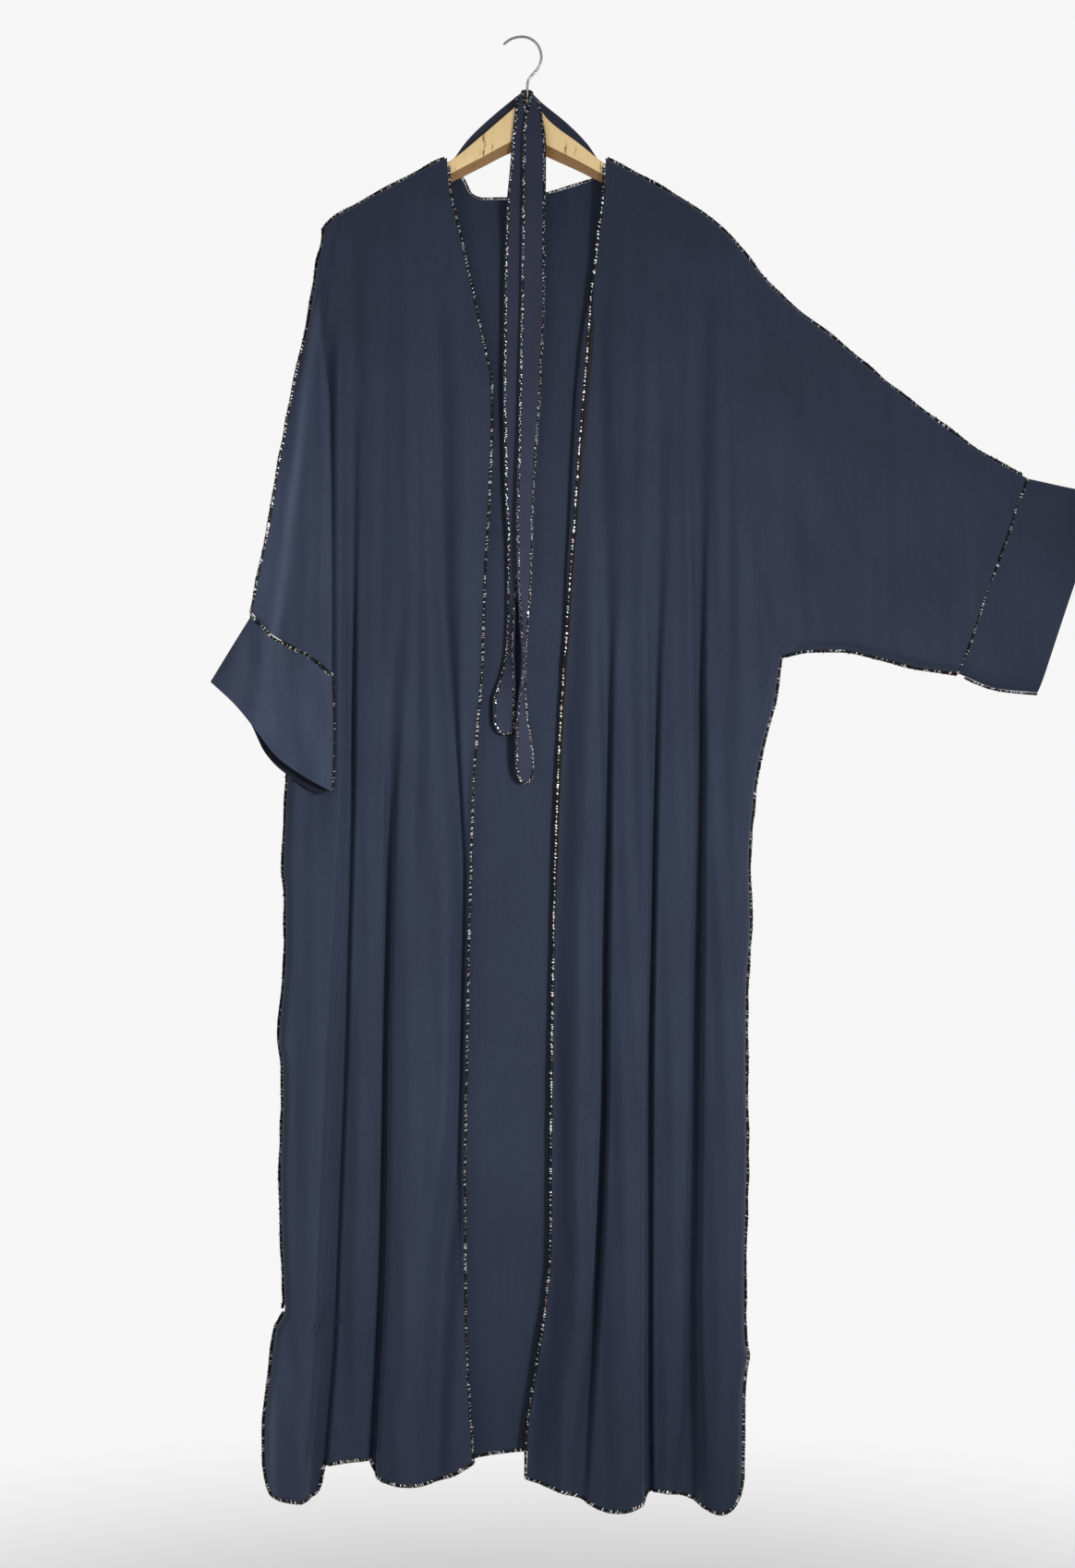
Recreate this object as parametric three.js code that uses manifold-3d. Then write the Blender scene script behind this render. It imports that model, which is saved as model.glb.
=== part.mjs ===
// An open-front batwing abaya with its belt, hung on a wooden hanger with a steel hook.
// Millimetres, +Z up. The origin is the inside of the hook's bend, where a rail or a nail would lie.
// The garment's front looks along -Y. "right" and "left" are the wearer's: right lies at -X, left at +X.
// The right sleeve hangs down in front of the body's side, in a fold. The left sleeve is spread out to the side.
import * as THREE from "three";
import { mergeVertices } from "three/addons/utils/BufferGeometryUtils.js";
import Module from "manifold-3d";

const wasm = await Module();
wasm.setup();

// ---------------------------------------------------------------- driving sizes
const CLOTH = 1.2; // wall of the crepe, hems and seam allowances taken together
const BELT_CLOTH = 1.6; // the belt is cut double
const LOOP_CLOTH = 1.0;
const SEAM = 0.8; // each panel's edge stands this far from the middle of a seam
const GAP = 0.3; // clearance between a panel's edge and the trim sewn on it
const TRIM_WIDE = 3.4; // glitter edging, across
const TRIM_HALF = 1.1; // and half through, on a single layer
const SEAM_TRIM_HALF = 1.7; // half through, where it binds two layers
const CENTRE = 4; // the hanger's middle
const HANGER_HALF = 5.5; // half thickness of the wood
const WIRE = 1.45; // radius of the hook's wire
const UNDERARM = -677; // level of the spread sleeve's underarm
const CUFF_LEVEL = -690; // level of the body where the hanging sleeve ends
const SHOULDER_ROUND = 7; // how fast the cloth rounds over the wood
const SIDE_ROUND = 15; // and round a side seam

// ---------------------------------------------------------------- tables
// Rows of the upper part, from the shoulder (0) to the underarm level (1), and of the lower part to the hem.
const UPPER = [0, 0.009, 0.03, 0.08, 0.15, 0.23, 0.32, 0.42, 0.53, 0.66, 0.78, 0.89, 1];
const LOWER = [0.085, 0.17, 0.255, 0.34, 0.42, 0.5, 0.58, 0.66, 0.745, 0.83, 0.915, 1];
const CROTCH_ROW = 9; // row of the hanging sleeve's underarm
const UNDER_ROW = UPPER.length - 1;
const SLIT_ROW = UNDER_ROW + 10; // row where the side slits begin
const LAST_ROW = UNDER_ROW + LOWER.length;

// The seam over the shoulders and along each arm, by distance from the middle.
const SHOULDER_RIGHT = [
  { x: -83, z: -130.5 }, { x: -92, z: -134.5 }, { x: -103, z: -140 }, { x: -120, z: -149 }, { x: -148, z: -164 },
  { x: -178, z: -180 }, { x: -204, z: -195 }, { x: -218, z: -208 },
];
const SHOULDER_LEFT = [
  { x: 91, z: -130.5 }, { x: 104, z: -138 }, { x: 119, z: -145.5 }, { x: 150, z: -163 }, { x: 182, z: -181 },
  { x: 221, z: -211.5 }, { x: 276, z: -275.5 }, { x: 350, z: -336.5 }, { x: 424, z: -397 },
  { x: 509, z: -458 }, { x: 552, z: -481.5 },
];
// Back neckline, from the middle outwards.
const NECK = [
  { x: -81.5, z: -141 }, { x: -76, z: -146 }, { x: -68, z: -150 }, { x: -57, z: -169 }, { x: -45, z: -174 },
  { x: 4, z: -173 }, { x: 30, z: -167 }, { x: 63, z: -157 }, { x: 80, z: -151 }, { x: 89.5, z: -143 },
];
// Body sections, going down: both side seams, both front edges, and how far the front stands forward.
const BODY = [
  { z: -132, edgeR: -83, edgeL: 91, sideR: -205, sideL: 301, fore: 8.4 },
  { z: -241, edgeR: -61, edgeL: 79, sideR: -211, sideL: 299, fore: 11 },
  { z: -322, edgeR: -45, edgeL: 72, sideR: -224, sideL: 297, fore: 12 },
  { z: -403, edgeR: -34, edgeL: 65, sideR: -237, sideL: 294, fore: 12.5 },
  { z: -484, edgeR: -35, edgeL: 59, sideR: -250, sideL: 291, fore: 13 },
  { z: -565, edgeR: -40, edgeL: 53, sideR: -262, sideL: 288, fore: 14 },
  { z: -647, edgeR: -43, edgeL: 48, sideR: -262, sideL: 284, fore: 15 },
  { z: -728, edgeR: -47, edgeL: 43, sideR: -261, sideL: 277, fore: 16 },
  { z: -829, edgeR: -54, edgeL: 38, sideR: -261, sideL: 255, fore: 17.5 },
  { z: -931, edgeR: -57, edgeL: 35, sideR: -263, sideL: 249, fore: 19 },
  { z: -1053, edgeR: -60, edgeL: 32, sideR: -265, sideL: 247, fore: 21 },
  { z: -1174, edgeR: -62, edgeL: 31, sideR: -265, sideL: 247, fore: 23 },
  { z: -1296, edgeR: -63, edgeL: 30, sideR: -266, sideL: 247, fore: 25 },
  { z: -1398, edgeR: -62, edgeL: 25, sideR: -264, sideL: 245, fore: 26.5 },
  { z: -1479, edgeR: -59, edgeL: 12, sideR: -279, sideL: 243, fore: 28 },
  { z: -1590, edgeR: -54, edgeL: 3, sideR: -283, sideL: 240, fore: 30 },
];
// The six long folds of the fronts: where each runs, where it starts, how wide it is and how deep at three levels.
const FOLDS_RIGHT = [
  { fold: "C", from: -240, wide: 11, x240: -100, x480: -86, x730: -76, x930: -66, x1180: -73, x1400: -88, x1590: -104, d700: 4, d1100: 8, d1590: 13 },
  { fold: "B", from: -560, wide: 10, x240: -135, x480: -136, x730: -139, x930: -145, x1180: -151, x1400: -158, x1590: -167, d700: 5, d1100: 12, d1590: 20 },
  { fold: "A", from: -380, wide: 11, x240: -187, x480: -184, x730: -184, x930: -189, x1180: -196, x1400: -204, x1590: -220, d700: 8, d1100: 17, d1590: 22 },
];
const FOLDS_LEFT = [
  { fold: "D", from: -480, wide: 11, x240: 102, x480: 98, x730: 96, x930: 91, x1180: 88, x1400: 80, x1590: 72, d700: 6, d1100: 13, d1590: 12 },
  { fold: "E", from: -440, wide: 11, x240: 157, x480: 152, x730: 147, x930: 142, x1180: 138, x1400: 137, x1590: 139, d700: 6, d1100: 14, d1590: 21 },
  { fold: "F", from: -300, wide: 12, x240: 199, x480: 198, x730: 196, x930: 191, x1180: 189, x1400: 186, x1590: 194, d700: 6, d1100: 11, d1590: 13 },
];
// Hems: the level under each distance from the middle.
const HEM_RIGHT = [
  { x: -283, z: -1573 }, { x: -272, z: -1587 }, { x: -243, z: -1597 }, { x: -233, z: -1591 },
  { x: -216, z: -1561 }, { x: -190, z: -1552 }, { x: -172, z: -1551 }, { x: -162, z: -1566 },
  { x: -147, z: -1576 }, { x: -112, z: -1580 }, { x: -78, z: -1572 }, { x: -54, z: -1558 },
];
const HEM_LEFT = [
  { x: 3, z: -1576 }, { x: 30, z: -1582 }, { x: 63, z: -1593 }, { x: 85, z: -1604 }, { x: 112, z: -1608 },
  { x: 130, z: -1600 }, { x: 140, z: -1590 }, { x: 150, z: -1590 }, { x: 175, z: -1595 },
  { x: 200, z: -1605 }, { x: 216, z: -1609 }, { x: 230, z: -1603 }, { x: 240, z: -1590 },
];
const HEM_BACK = [
  { x: -283, z: -1566 }, { x: -200, z: -1558 }, { x: -110, z: -1560 }, { x: -53, z: -1554 },
  { x: 2, z: -1548 }, { x: 80, z: -1556 }, { x: 160, z: -1562 }, { x: 240, z: -1572 },
];
// Spread sleeve: points of its underseam and of its cuff's two ends.
const UNDERSEAM = [
  { x: 283, z: -677 }, { x: 309, z: -671.5 }, { x: 344, z: -670 }, { x: 390, z: -678.5 }, { x: 441, z: -691 }, { x: 477, z: -695.5 },
];
const CUFF_SPREAD = [
  { at: 0, topX: 553.5, topZ: -482.5, lowX: 478.5, lowZ: -696 },
  { at: 0.5, topX: 596, topZ: -492, lowX: 522, lowZ: -713 },
  { at: 1, topX: 637, topZ: -500, lowX: 565, lowZ: -717.5 },
];
// Hanging sleeve, going down from the shoulder's tip: the seam over the arm, the folded edge over the body,
// the hidden underseam, and how far the layers have opened.
const SLEEVE_HANG = [
  { at: 0, overX: -218, foldX: -210, underX: -203, overY: 0, apart: 0, across: 0 },
  { at: 0.08, overX: -224, foldX: -211, underX: -206, overY: -2, apart: 0.12, across: 0.02 },
  { at: 0.15, overX: -228, foldX: -211.5, underX: -211, overY: -6, apart: 0.42, across: 0.16 },
  { at: 0.23, overX: -233, foldX: -211.5, underX: -217, overY: -11, apart: 0.75, across: 0.45 },
  { at: 0.32, overX: -240, foldX: -211, underX: -225, overY: -17, apart: 1, across: 0.8 },
  { at: 0.42, overX: -249, foldX: -210, underX: -235, overY: -23, apart: 1, across: 1 },
  { at: 0.53, overX: -257, foldX: -209, underX: -247, overY: -28, apart: 1, across: 1 },
  { at: 0.66, overX: -267, foldX: -208, underX: -262, overY: -31, apart: 1, across: 1 },
  { at: 0.78, overX: -275, foldX: -207.5, underX: -247, overY: -31, apart: 1, across: 1 },
  { at: 0.89, overX: -285, foldX: -207.5, underX: -229, overY: -31, apart: 1, across: 1 },
  { at: 1, overX: -294, foldX: -208, underX: -218, overY: -31, apart: 1, across: 1 },
];
const HANG_FORE = 38; // the hanging sleeve's front layer
const HANG_BACK = 26; // its hidden layers
const CUFF_SEAM_HANG = [
  { x: -294, z: -632 }, { x: -284, z: -644 }, { x: -274, z: -654 }, { x: -248, z: -669 }, { x: -227, z: -681 }, { x: -208, z: -697 },
];
// Hanging cuff: along its open end, the level under each distance, and its two side edges.
const CUFF_HANG = [
  { u: 0, seamX: -294, seamZ: -633.5, midX: -317, midZ: -671, endX: -339, endZ: -707 },
  { u: 0.2, seamX: -281, seamZ: -650, midX: -298, midZ: -692, endX: -313, endZ: -731 },
  { u: 0.4, seamX: -265, seamZ: -661.5, midX: -278, midZ: -712, endX: -289, endZ: -760 },
  { u: 0.6, seamX: -248, seamZ: -670.5, midX: -257, midZ: -728, endX: -266, endZ: -789 },
  { u: 0.8, seamX: -228, seamZ: -682, midX: -232, midZ: -745, endX: -237, endZ: -810 },
  { u: 1, seamX: -208, seamZ: -699, midX: -206, midZ: -762, endX: -208, endZ: -826 },
];
// The wooden hanger: its top edge, the lower edge of its face, and its underside.
const HANGER = [
  { x: -212, top: -206, face: -213, low: -217, half: 3.6 },
  { x: -204, top: -199, face: -214, low: -219, half: 5.5 },
  { x: -178, top: -183.5, face: -201, low: -207, half: 5.5 },
  { x: -148, top: -167.8, face: -186, low: -192, half: 5.5 },
  { x: -120, top: -153, face: -171, low: -177, half: 5.5 },
  { x: -83, top: -136, face: -151, low: -159, half: 5.5 },
  { x: -43, top: -104.5, face: -130, low: -139, half: 5.5 },
  { x: -15, top: -80.5, face: -115, low: -125, half: 5.5 },
  { x: -3, top: -71, face: -110, low: -121, half: 5.5 },
  { x: 5, top: -66.5, face: -108, low: -119.5, half: 5.5 },
  { x: 13, top: -71.5, face: -111, low: -122, half: 5.5 },
  { x: 30, top: -91, face: -119.5, low: -130, half: 5.5 },
  { x: 60, top: -113.5, face: -134.5, low: -143.5, half: 5.5 },
  { x: 92, top: -138, face: -152, low: -159.5, half: 5.5 },
  { x: 126, top: -153.5, face: -170, low: -176, half: 5.5 },
  { x: 182, top: -184.5, face: -202, low: -208, half: 5.5 },
  { x: 206, top: -202.5, face: -216, low: -221, half: 5.5 },
  { x: 218, top: -212, face: -219, low: -223, half: 3.6 },
];
// The hook's centre line, from its free tip to the end of its stem in the wood.
const HOOK = [
  { x: -21.5, z: -5.5 }, { x: -13, z: 0.6 }, { x: -2, z: 3.2 }, { x: 8, z: 1.2 }, { x: 16.5, z: -6 }, { x: 20.5, z: -18 },
  { x: 18, z: -29 }, { x: 12, z: -37 }, { x: 6.5, z: -44 }, { x: 5, z: -52 }, { x: 5, z: -60 }, { x: 5, z: -78 },
];
// The hanging loops' tape: its middle line behind the wood's top edge, and half its height there.
const TAPE = [
  { x: -75, y: 7, z: -135, half: 7 }, { x: -61, y: 7, z: -117, half: 8 }, { x: -38, y: 7, z: -95, half: 8.5 },
  { x: -14, y: 7, z: -75, half: 8.5 }, { x: 4, y: 7.1, z: -62, half: 7 }, { x: 22, y: 7, z: -77, half: 8.5 },
  { x: 49, y: 7, z: -99, half: 8.5 }, { x: 71, y: 7, z: -121, half: 8 }, { x: 82, y: 7, z: -136, half: 7 },
];
// The belt, from its one rounded end over the hanger's neck to the other: middle, and half its width as a vector.
const BELT = [
  { x: -18, y: -11, z: -763.5, wx: 3.5, wy: 0, wz: 0 },
  { x: -18.5, y: -11, z: -760, wx: 9, wy: 0.5, wz: 0.4 },
  { x: -19.5, y: -11, z: -750, wx: 12.2, wy: 1.5, wz: 0 },
  { x: -20, y: -11, z: -728, wx: 12.4, wy: 3, wz: 0 },
  { x: -16.5, y: -11, z: -700, wx: 8, wy: 7, wz: 0 },
  { x: -14, y: -11, z: -670, wx: 4.5, wy: 7.5, wz: 0 },
  { x: -13, y: -11, z: -640, wx: 4, wy: 7, wz: 0 },
  { x: -11, y: -10, z: -600, wx: 6, wy: 5.5, wz: 0 },
  { x: -8, y: -9.5, z: -540, wx: 9.5, wy: 3, wz: 0 },
  { x: -8, y: -9.2, z: -460, wx: 12.6, wy: 1, wz: 0 },
  { x: -8.5, y: -9, z: -380, wx: 13, wy: 0, wz: 0 },
  { x: -7.5, y: -9, z: -280, wx: 13, wy: 0, wz: 0 },
  { x: -5, y: -8.6, z: -190, wx: 13, wy: 0, wz: 0 },
  { x: -1, y: -7.6, z: -120, wx: 11.5, wy: 0, wz: 0 },
  { x: -2, y: -7.5, z: -82, wx: 6.5, wy: 0.5, wz: 1.5 },
  { x: -3.2, y: -7, z: -66, wx: 4, wy: 1, wz: 3.2 },
  { x: -2.2, y: 1.5, z: -59.5, wx: 2.2, wy: 0.6, wz: 4.4 },
  { x: 5, y: 3.9, z: -58.8, wx: 0, wy: 0, wz: 5 },
  { x: 12.6, y: 1.5, z: -61.5, wx: -2.2, wy: 0.6, wz: 4.4 },
  { x: 14.6, y: -6.5, z: -70, wx: -4.6, wy: 1, wz: 3.6 },
  { x: 13, y: -10.6, z: -86, wx: -8.5, wy: 0.5, wz: 1.5 },
  { x: 12.5, y: -11, z: -120, wx: -13, wy: 0, wz: 0 },
  { x: 12, y: -12.4, z: -190, wx: -13.2, wy: 0, wz: 0 },
  { x: 11.5, y: -13.2, z: -280, wx: -13.4, wy: 0, wz: 0 },
  { x: 8.5, y: -13.8, z: -380, wx: -12.6, wy: 0, wz: 0 },
  { x: 5, y: -14, z: -460, wx: -10.5, wy: -3, wz: 0 },
  { x: 2.2, y: -14.5, z: -540, wx: -9.5, wy: -4, wz: 0 },
  { x: 2, y: -15, z: -600, wx: -8, wy: -5.5, wz: 0 },
  { x: 1.5, y: -15.5, z: -650, wx: -4, wy: -6.5, wz: 0 },
  { x: 1.5, y: -16, z: -685, wx: -1.5, wy: -6.5, wz: 0 },
  { x: -0.5, y: -16.5, z: -730, wx: -5, wy: -6.5, wz: 0 },
  { x: 1, y: -16.5, z: -770, wx: -9.5, wy: -3, wz: 0 },
  { x: 2.5, y: -16.5, z: -800, wx: -10.8, wy: -1, wz: 0 },
  { x: 3.5, y: -16.5, z: -813, wx: -8, wy: 0, wz: 0 },
  { x: 3.8, y: -16.5, z: -817, wx: -3.5, wy: 0, wz: 0 },
];

// ---------------------------------------------------------------- small mathematics
const lerp = (a, b, t) => a + (b - a) * t;
const clamp = (v, a, b) => Math.min(b, Math.max(a, v));
// Quarter of an ellipse: 0 on the seam, 1 at `reach` from it.
const rounded = (d, reach) => Math.sqrt(1 - (1 - clamp(d / reach, 0, 1)) ** 2);
// A smooth curve through one named column of a table, over another column.
function through(table, over, name) {
  const rows = [...table].sort((a, b) => a[over] - b[over]);
  const x = rows.map((r) => r[over]), y = rows.map((r) => r[name]);
  const n = x.length, slope = [];
  for (let i = 0; i < n - 1; i++) slope.push((y[i + 1] - y[i]) / (x[i + 1] - x[i]));
  const m = y.map((_, i) => {
    if (i === 0) return slope[0];
    if (i === n - 1) return slope[n - 2];
    const a = slope[i - 1], b = slope[i];
    return a * b <= 0 ? 0 : (2 * a * b) / (a + b);
  });
  return (v) => {
    if (v <= x[0]) return y[0];
    if (v >= x[n - 1]) return y[n - 1];
    let i = 0;
    while (v > x[i + 1]) i++;
    const h = x[i + 1] - x[i], t = (v - x[i]) / h, t2 = t * t, t3 = t2 * t;
    return (2 * t3 - 3 * t2 + 1) * y[i] + (t3 - 2 * t2 + t) * h * m[i] + (3 * t2 - 2 * t3) * y[i + 1] + (t3 - t2) * h * m[i + 1];
  };
}
const body = Object.fromEntries(["edgeR", "edgeL", "sideR", "sideL", "fore"].map((k) => [k, through(BODY, "z", k)]));
const shoulderRight = through(SHOULDER_RIGHT, "x", "z"), shoulderLeft = through(SHOULDER_LEFT, "x", "z");
const neckLine = through(NECK, "x", "z");
const woodTop = through(HANGER, "x", "top");
// The line over the wood that the cloth rounds over: the seam itself, or inside the neck the wood's own top.
const ridgeRight = (x) => (x > -83 ? woodTop(x) + 4 : shoulderRight(x)), ridgeLeft = (x) => (x < 91 ? woodTop(x) + 4 : shoulderLeft(x));
const hemRight = through(HEM_RIGHT, "x", "z"), hemLeft = through(HEM_LEFT, "x", "z"), hemBack = through(HEM_BACK, "x", "z");
const underseam = through(UNDERSEAM, "x", "z");
const hang = Object.fromEntries(["overX", "foldX", "underX", "overY", "apart", "across"].map((k) => [k, through(SLEEVE_HANG, "at", k)]));
const cuffSeamHang = through(CUFF_SEAM_HANG, "x", "z");
const LEVELS = [240, 480, 730, 930, 1180, 1400, 1590];
const foldLine = (f) => through(LEVELS.map((l) => ({ z: -l, x: f["x" + l] })), "z", "x");
const foldDepth = (f) => {
  const d = through([{ z: f.from, d: 0 }, { z: -760, d: f.d700 }, { z: -1100, d: f.d1100 }, { z: -1590, d: f.d1590 }].filter((r, i, a) => i === 0 || r.z < a[0].z), "z", "d");
  return (z) => (z >= f.from ? 0 : d(z));
};
for (const f of [...FOLDS_RIGHT, ...FOLDS_LEFT]) (f.line = foldLine(f)), (f.depth = foldDepth(f));

// How far a front stands forward at a point of the body.
function frontDepth(folds, x, z) {
  let y = body.fore(z);
  for (const f of folds) y -= f.depth(z) * Math.exp(-(((x - f.line(z)) / f.wide) ** 2));
  return y;
}
// How far the back stands backward: a few slow waves that grow towards the hem.
function backDepth(x, z) {
  const low = clamp((-z - 300) / 1250, 0, 1);
  return 9.2 + 4.2 * clamp((-z - 150) / 500, 0, 1) + low * (2.6 * Math.sin(x / 31 + 0.6) + 1.6 * Math.sin(x / 17 + z / 700));
}

// ---------------------------------------------------------------- sheets and solids
// A sheet is a surface with free edges: points with keys, and triangles between them.
class Sheet {
  points = [];
  triangles = [];
  index = new Map();
  point(key, p) {
    if (!this.index.has(key)) this.index.set(key, this.points.push(p) - 1);
    return this.index.get(key);
  }
  at(key) {
    return this.points[this.index.get(key)];
  }
  quad(a, b, c, d) {
    const p = this.points;
    if (p[a].distanceTo(p[c]) <= p[b].distanceTo(p[d])) this.triangles.push([a, b, c], [a, c, d]);
    else this.triangles.push([a, b, d], [b, c, d]);
  }
  // Cells of a grid whose points come from `where(col,row)`; `mirrored` turns the cells round.
  grid(cols, rows, has, key, where, mirrored = false) {
    for (let i = 0; i < rows; i++)
      for (let j = 0; j < cols; j++) {
        if (!has(j, i)) continue;
        const q = [[j, i], [j + 1, i], [j + 1, i + 1], [j, i + 1]].map(([c, r]) => this.point(key(c, r), this.index.has(key(c, r)) ? null : where(c, r)));
        if (mirrored) q.reverse();
        this.quad(...q);
      }
    return this;
  }
  // The sheet thickened evenly about itself into one closed solid.
  solid(thick) {
    const n = this.points.length, normals = this.points.map(() => new THREE.Vector3()), e1 = new THREE.Vector3(), e2 = new THREE.Vector3();
    for (const [a, b, c] of this.triangles) {
      e1.subVectors(this.points[b], this.points[a]);
      e2.subVectors(this.points[c], this.points[a]);
      e1.cross(e2);
      const area = e1.length();
      if (area > 1e-9) for (const v of [a, b, c]) normals[v].addScaledVector(e1, 1 / Math.sqrt(area));
    }
    normals.forEach((v) => v.normalize());
    const position = new Float32Array(6 * n), indices = [], edges = new Map();
    this.points.forEach((p, i) => {
      const v = normals[i];
      position.set([p.x + (v.x * thick) / 2, p.y + (v.y * thick) / 2, p.z + (v.z * thick) / 2], 3 * i);
      position.set([p.x - (v.x * thick) / 2, p.y - (v.y * thick) / 2, p.z - (v.z * thick) / 2], 3 * (n + i));
    });
    for (const [a, b, c] of this.triangles) {
      indices.push(a, b, c, n + a, n + c, n + b);
      for (const [u, v] of [[a, b], [b, c], [c, a]]) edges.has(v + "," + u) ? edges.delete(v + "," + u) : edges.set(u + "," + v, [u, v]);
    }
    for (const [u, v] of edges.values()) indices.push(v, u, n + u, v, n + u, n + v);
    return closed(position, indices);
  }
}
function closed(position, indices) {
  return new THREE.BufferGeometry().setAttribute("position", new THREE.BufferAttribute(new Float32Array(position), 3)).setIndex(indices);
}
// Rings of equal size joined one after the other, with flat ends or closed on themselves.
function loft(rings, ring = false) {
  const m = rings[0].length, position = rings.flat().flatMap((p) => [p.x, p.y, p.z]), indices = [];
  const last = ring ? rings.length : rings.length - 1;
  for (let i = 0; i < last; i++)
    for (let j = 0; j < m; j++) {
      const a = i * m + j, b = i * m + ((j + 1) % m), k = ((i + 1) % rings.length) * m, c = k + ((j + 1) % m), d = k + j;
      indices.push(a, b, c, a, c, d);
    }
  if (!ring) {
    const e = (rings.length - 1) * m;
    for (let j = 1; j < m - 1; j++) indices.push(0, j + 1, j, e, e + j, e + j + 1);
  }
  const g = closed(position, indices);
  if (volume(g) < 0) for (let i = 0; i < indices.length; i += 3) [indices[i + 1], indices[i + 2]] = [indices[i + 2], indices[i + 1]];
  return closed(position, indices);
}
function volume(g) {
  const p = g.attributes.position, ix = g.index.array, a = new THREE.Vector3(), b = new THREE.Vector3(), c = new THREE.Vector3();
  let v = 0;
  for (let i = 0; i < ix.length; i += 3) {
    a.fromBufferAttribute(p, ix[i]), b.fromBufferAttribute(p, ix[i + 1]), c.fromBufferAttribute(p, ix[i + 2]);
    v += a.dot(b.cross(c)) / 6;
  }
  return v;
}
// A flat edging along a run of points: `out` is the way off the cloth at each, `near` and `far` its two edges, `half` its half thickness.
function edging(run, out, near, far, half, ring = false) {
  const rings = run.map((p, i) => {
    const before = run[i ? i - 1 : ring ? run.length - 1 : 0], after = run[i < run.length - 1 ? i + 1 : ring ? 0 : i];
    const along = new THREE.Vector3().subVectors(after, before).normalize();
    const o = out[i].clone();
    const side = new THREE.Vector3().crossVectors(along, o).normalize();
    const [n, f] = typeof near === "function" ? [near(i), near(i) + far - GAP] : [near, far];
    return [[n, -half], [f, -half], [f, half], [n, half]].map(([d, s]) => p.clone().addScaledVector(o, d).addScaledVector(side, s));
  });
  return loft(rings, ring);
}
// The way off the cloth for a run that lies nearly in the front plane: square to the run, on the chosen hand.
function outward(run, hand) {
  return run.map((p, i) => {
    const a = run[Math.max(0, i - 1)], b = run[Math.min(run.length - 1, i + 1)];
    const d1 = new THREE.Vector2(p.x - a.x, p.z - a.z).normalize(), d2 = new THREE.Vector2(b.x - p.x, b.z - p.z).normalize();
    const s = d1.clone().add(d2).normalize(), cosine = Math.max(0.6, d1.lengthSq() && d2.lengthSq() ? s.dot(d2) : 1);
    return new THREE.Vector3((-s.y * hand) / cosine, 0, (s.x * hand) / cosine);
  });
}

// ---------------------------------------------------------------- the fronts
const V = (x, y, z) => new THREE.Vector3(x, y, z);
const rowIsUpper = (i) => i <= UNDER_ROW;
// How close to a seam over the shoulder a point lies, as its share of the full depth.
const seamShare = (drop, reach) => rounded(drop, reach);

// Columns across each front: the fold it belongs to and its offset from that fold's line, or a share between two neighbours.
const acrossFolds = (folds) => {
  const list = [{ edge: 1 }];
  for (const f of folds) list.push({ mid: 1 }, { f, off: -1 }, { f, off: 0 }, { f, off: 1 });
  list.push({ mid: 1 }, { in: 1 }, { side: 1 });
  return list;
};
// Distances across one level: edge, folds with a column on each bank, halfway columns, the side and a column just inside it.
function distances(columns, edge, side, z, hand) {
  const x = columns.map((c) => (c.edge ? edge : c.side ? side : c.in ? side - hand * 9 : c.f ? c.f.line(z) + hand * c.off * c.f.wide * 0.85 : null));
  const all = x.map((v, j) => (v === null ? (x[j - 1] + x[j + 1]) / 2 : v));
  // No two columns closer than 2.4, where a fold runs into the front edge.
  for (let j = 1; j < all.length - 2; j++) all[j] = hand > 0 ? Math.max(all[j], all[j - 1] + 2.4) : Math.min(all[j], all[j - 1] - 2.4);
  return all;
}

// Left front, with the spread sleeve cut in one with it.
const COLS_LEFT = acrossFolds(FOLDS_LEFT);
const TOP_LEFT = [91, 95, 99, 105, 111, 128, 146, 156, 166, 179, 190, 201, 212, 240, 280, 292];
const SIDE_COL_LEFT = COLS_LEFT.length - 1;
const SLEEVE_CELLS = 7;
const FRONT_LEFT_TOP = (j) => {
  if (j <= SIDE_COL_LEFT) return TOP_LEFT[j];
  const t = (j - SIDE_COL_LEFT) / SLEEVE_CELLS;
  return lerp(TOP_LEFT[SIDE_COL_LEFT], 552, t);
};
const UNDER_LEFT = (j) => lerp(283, 477, (j - SIDE_COL_LEFT) / SLEEVE_CELLS);
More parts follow.
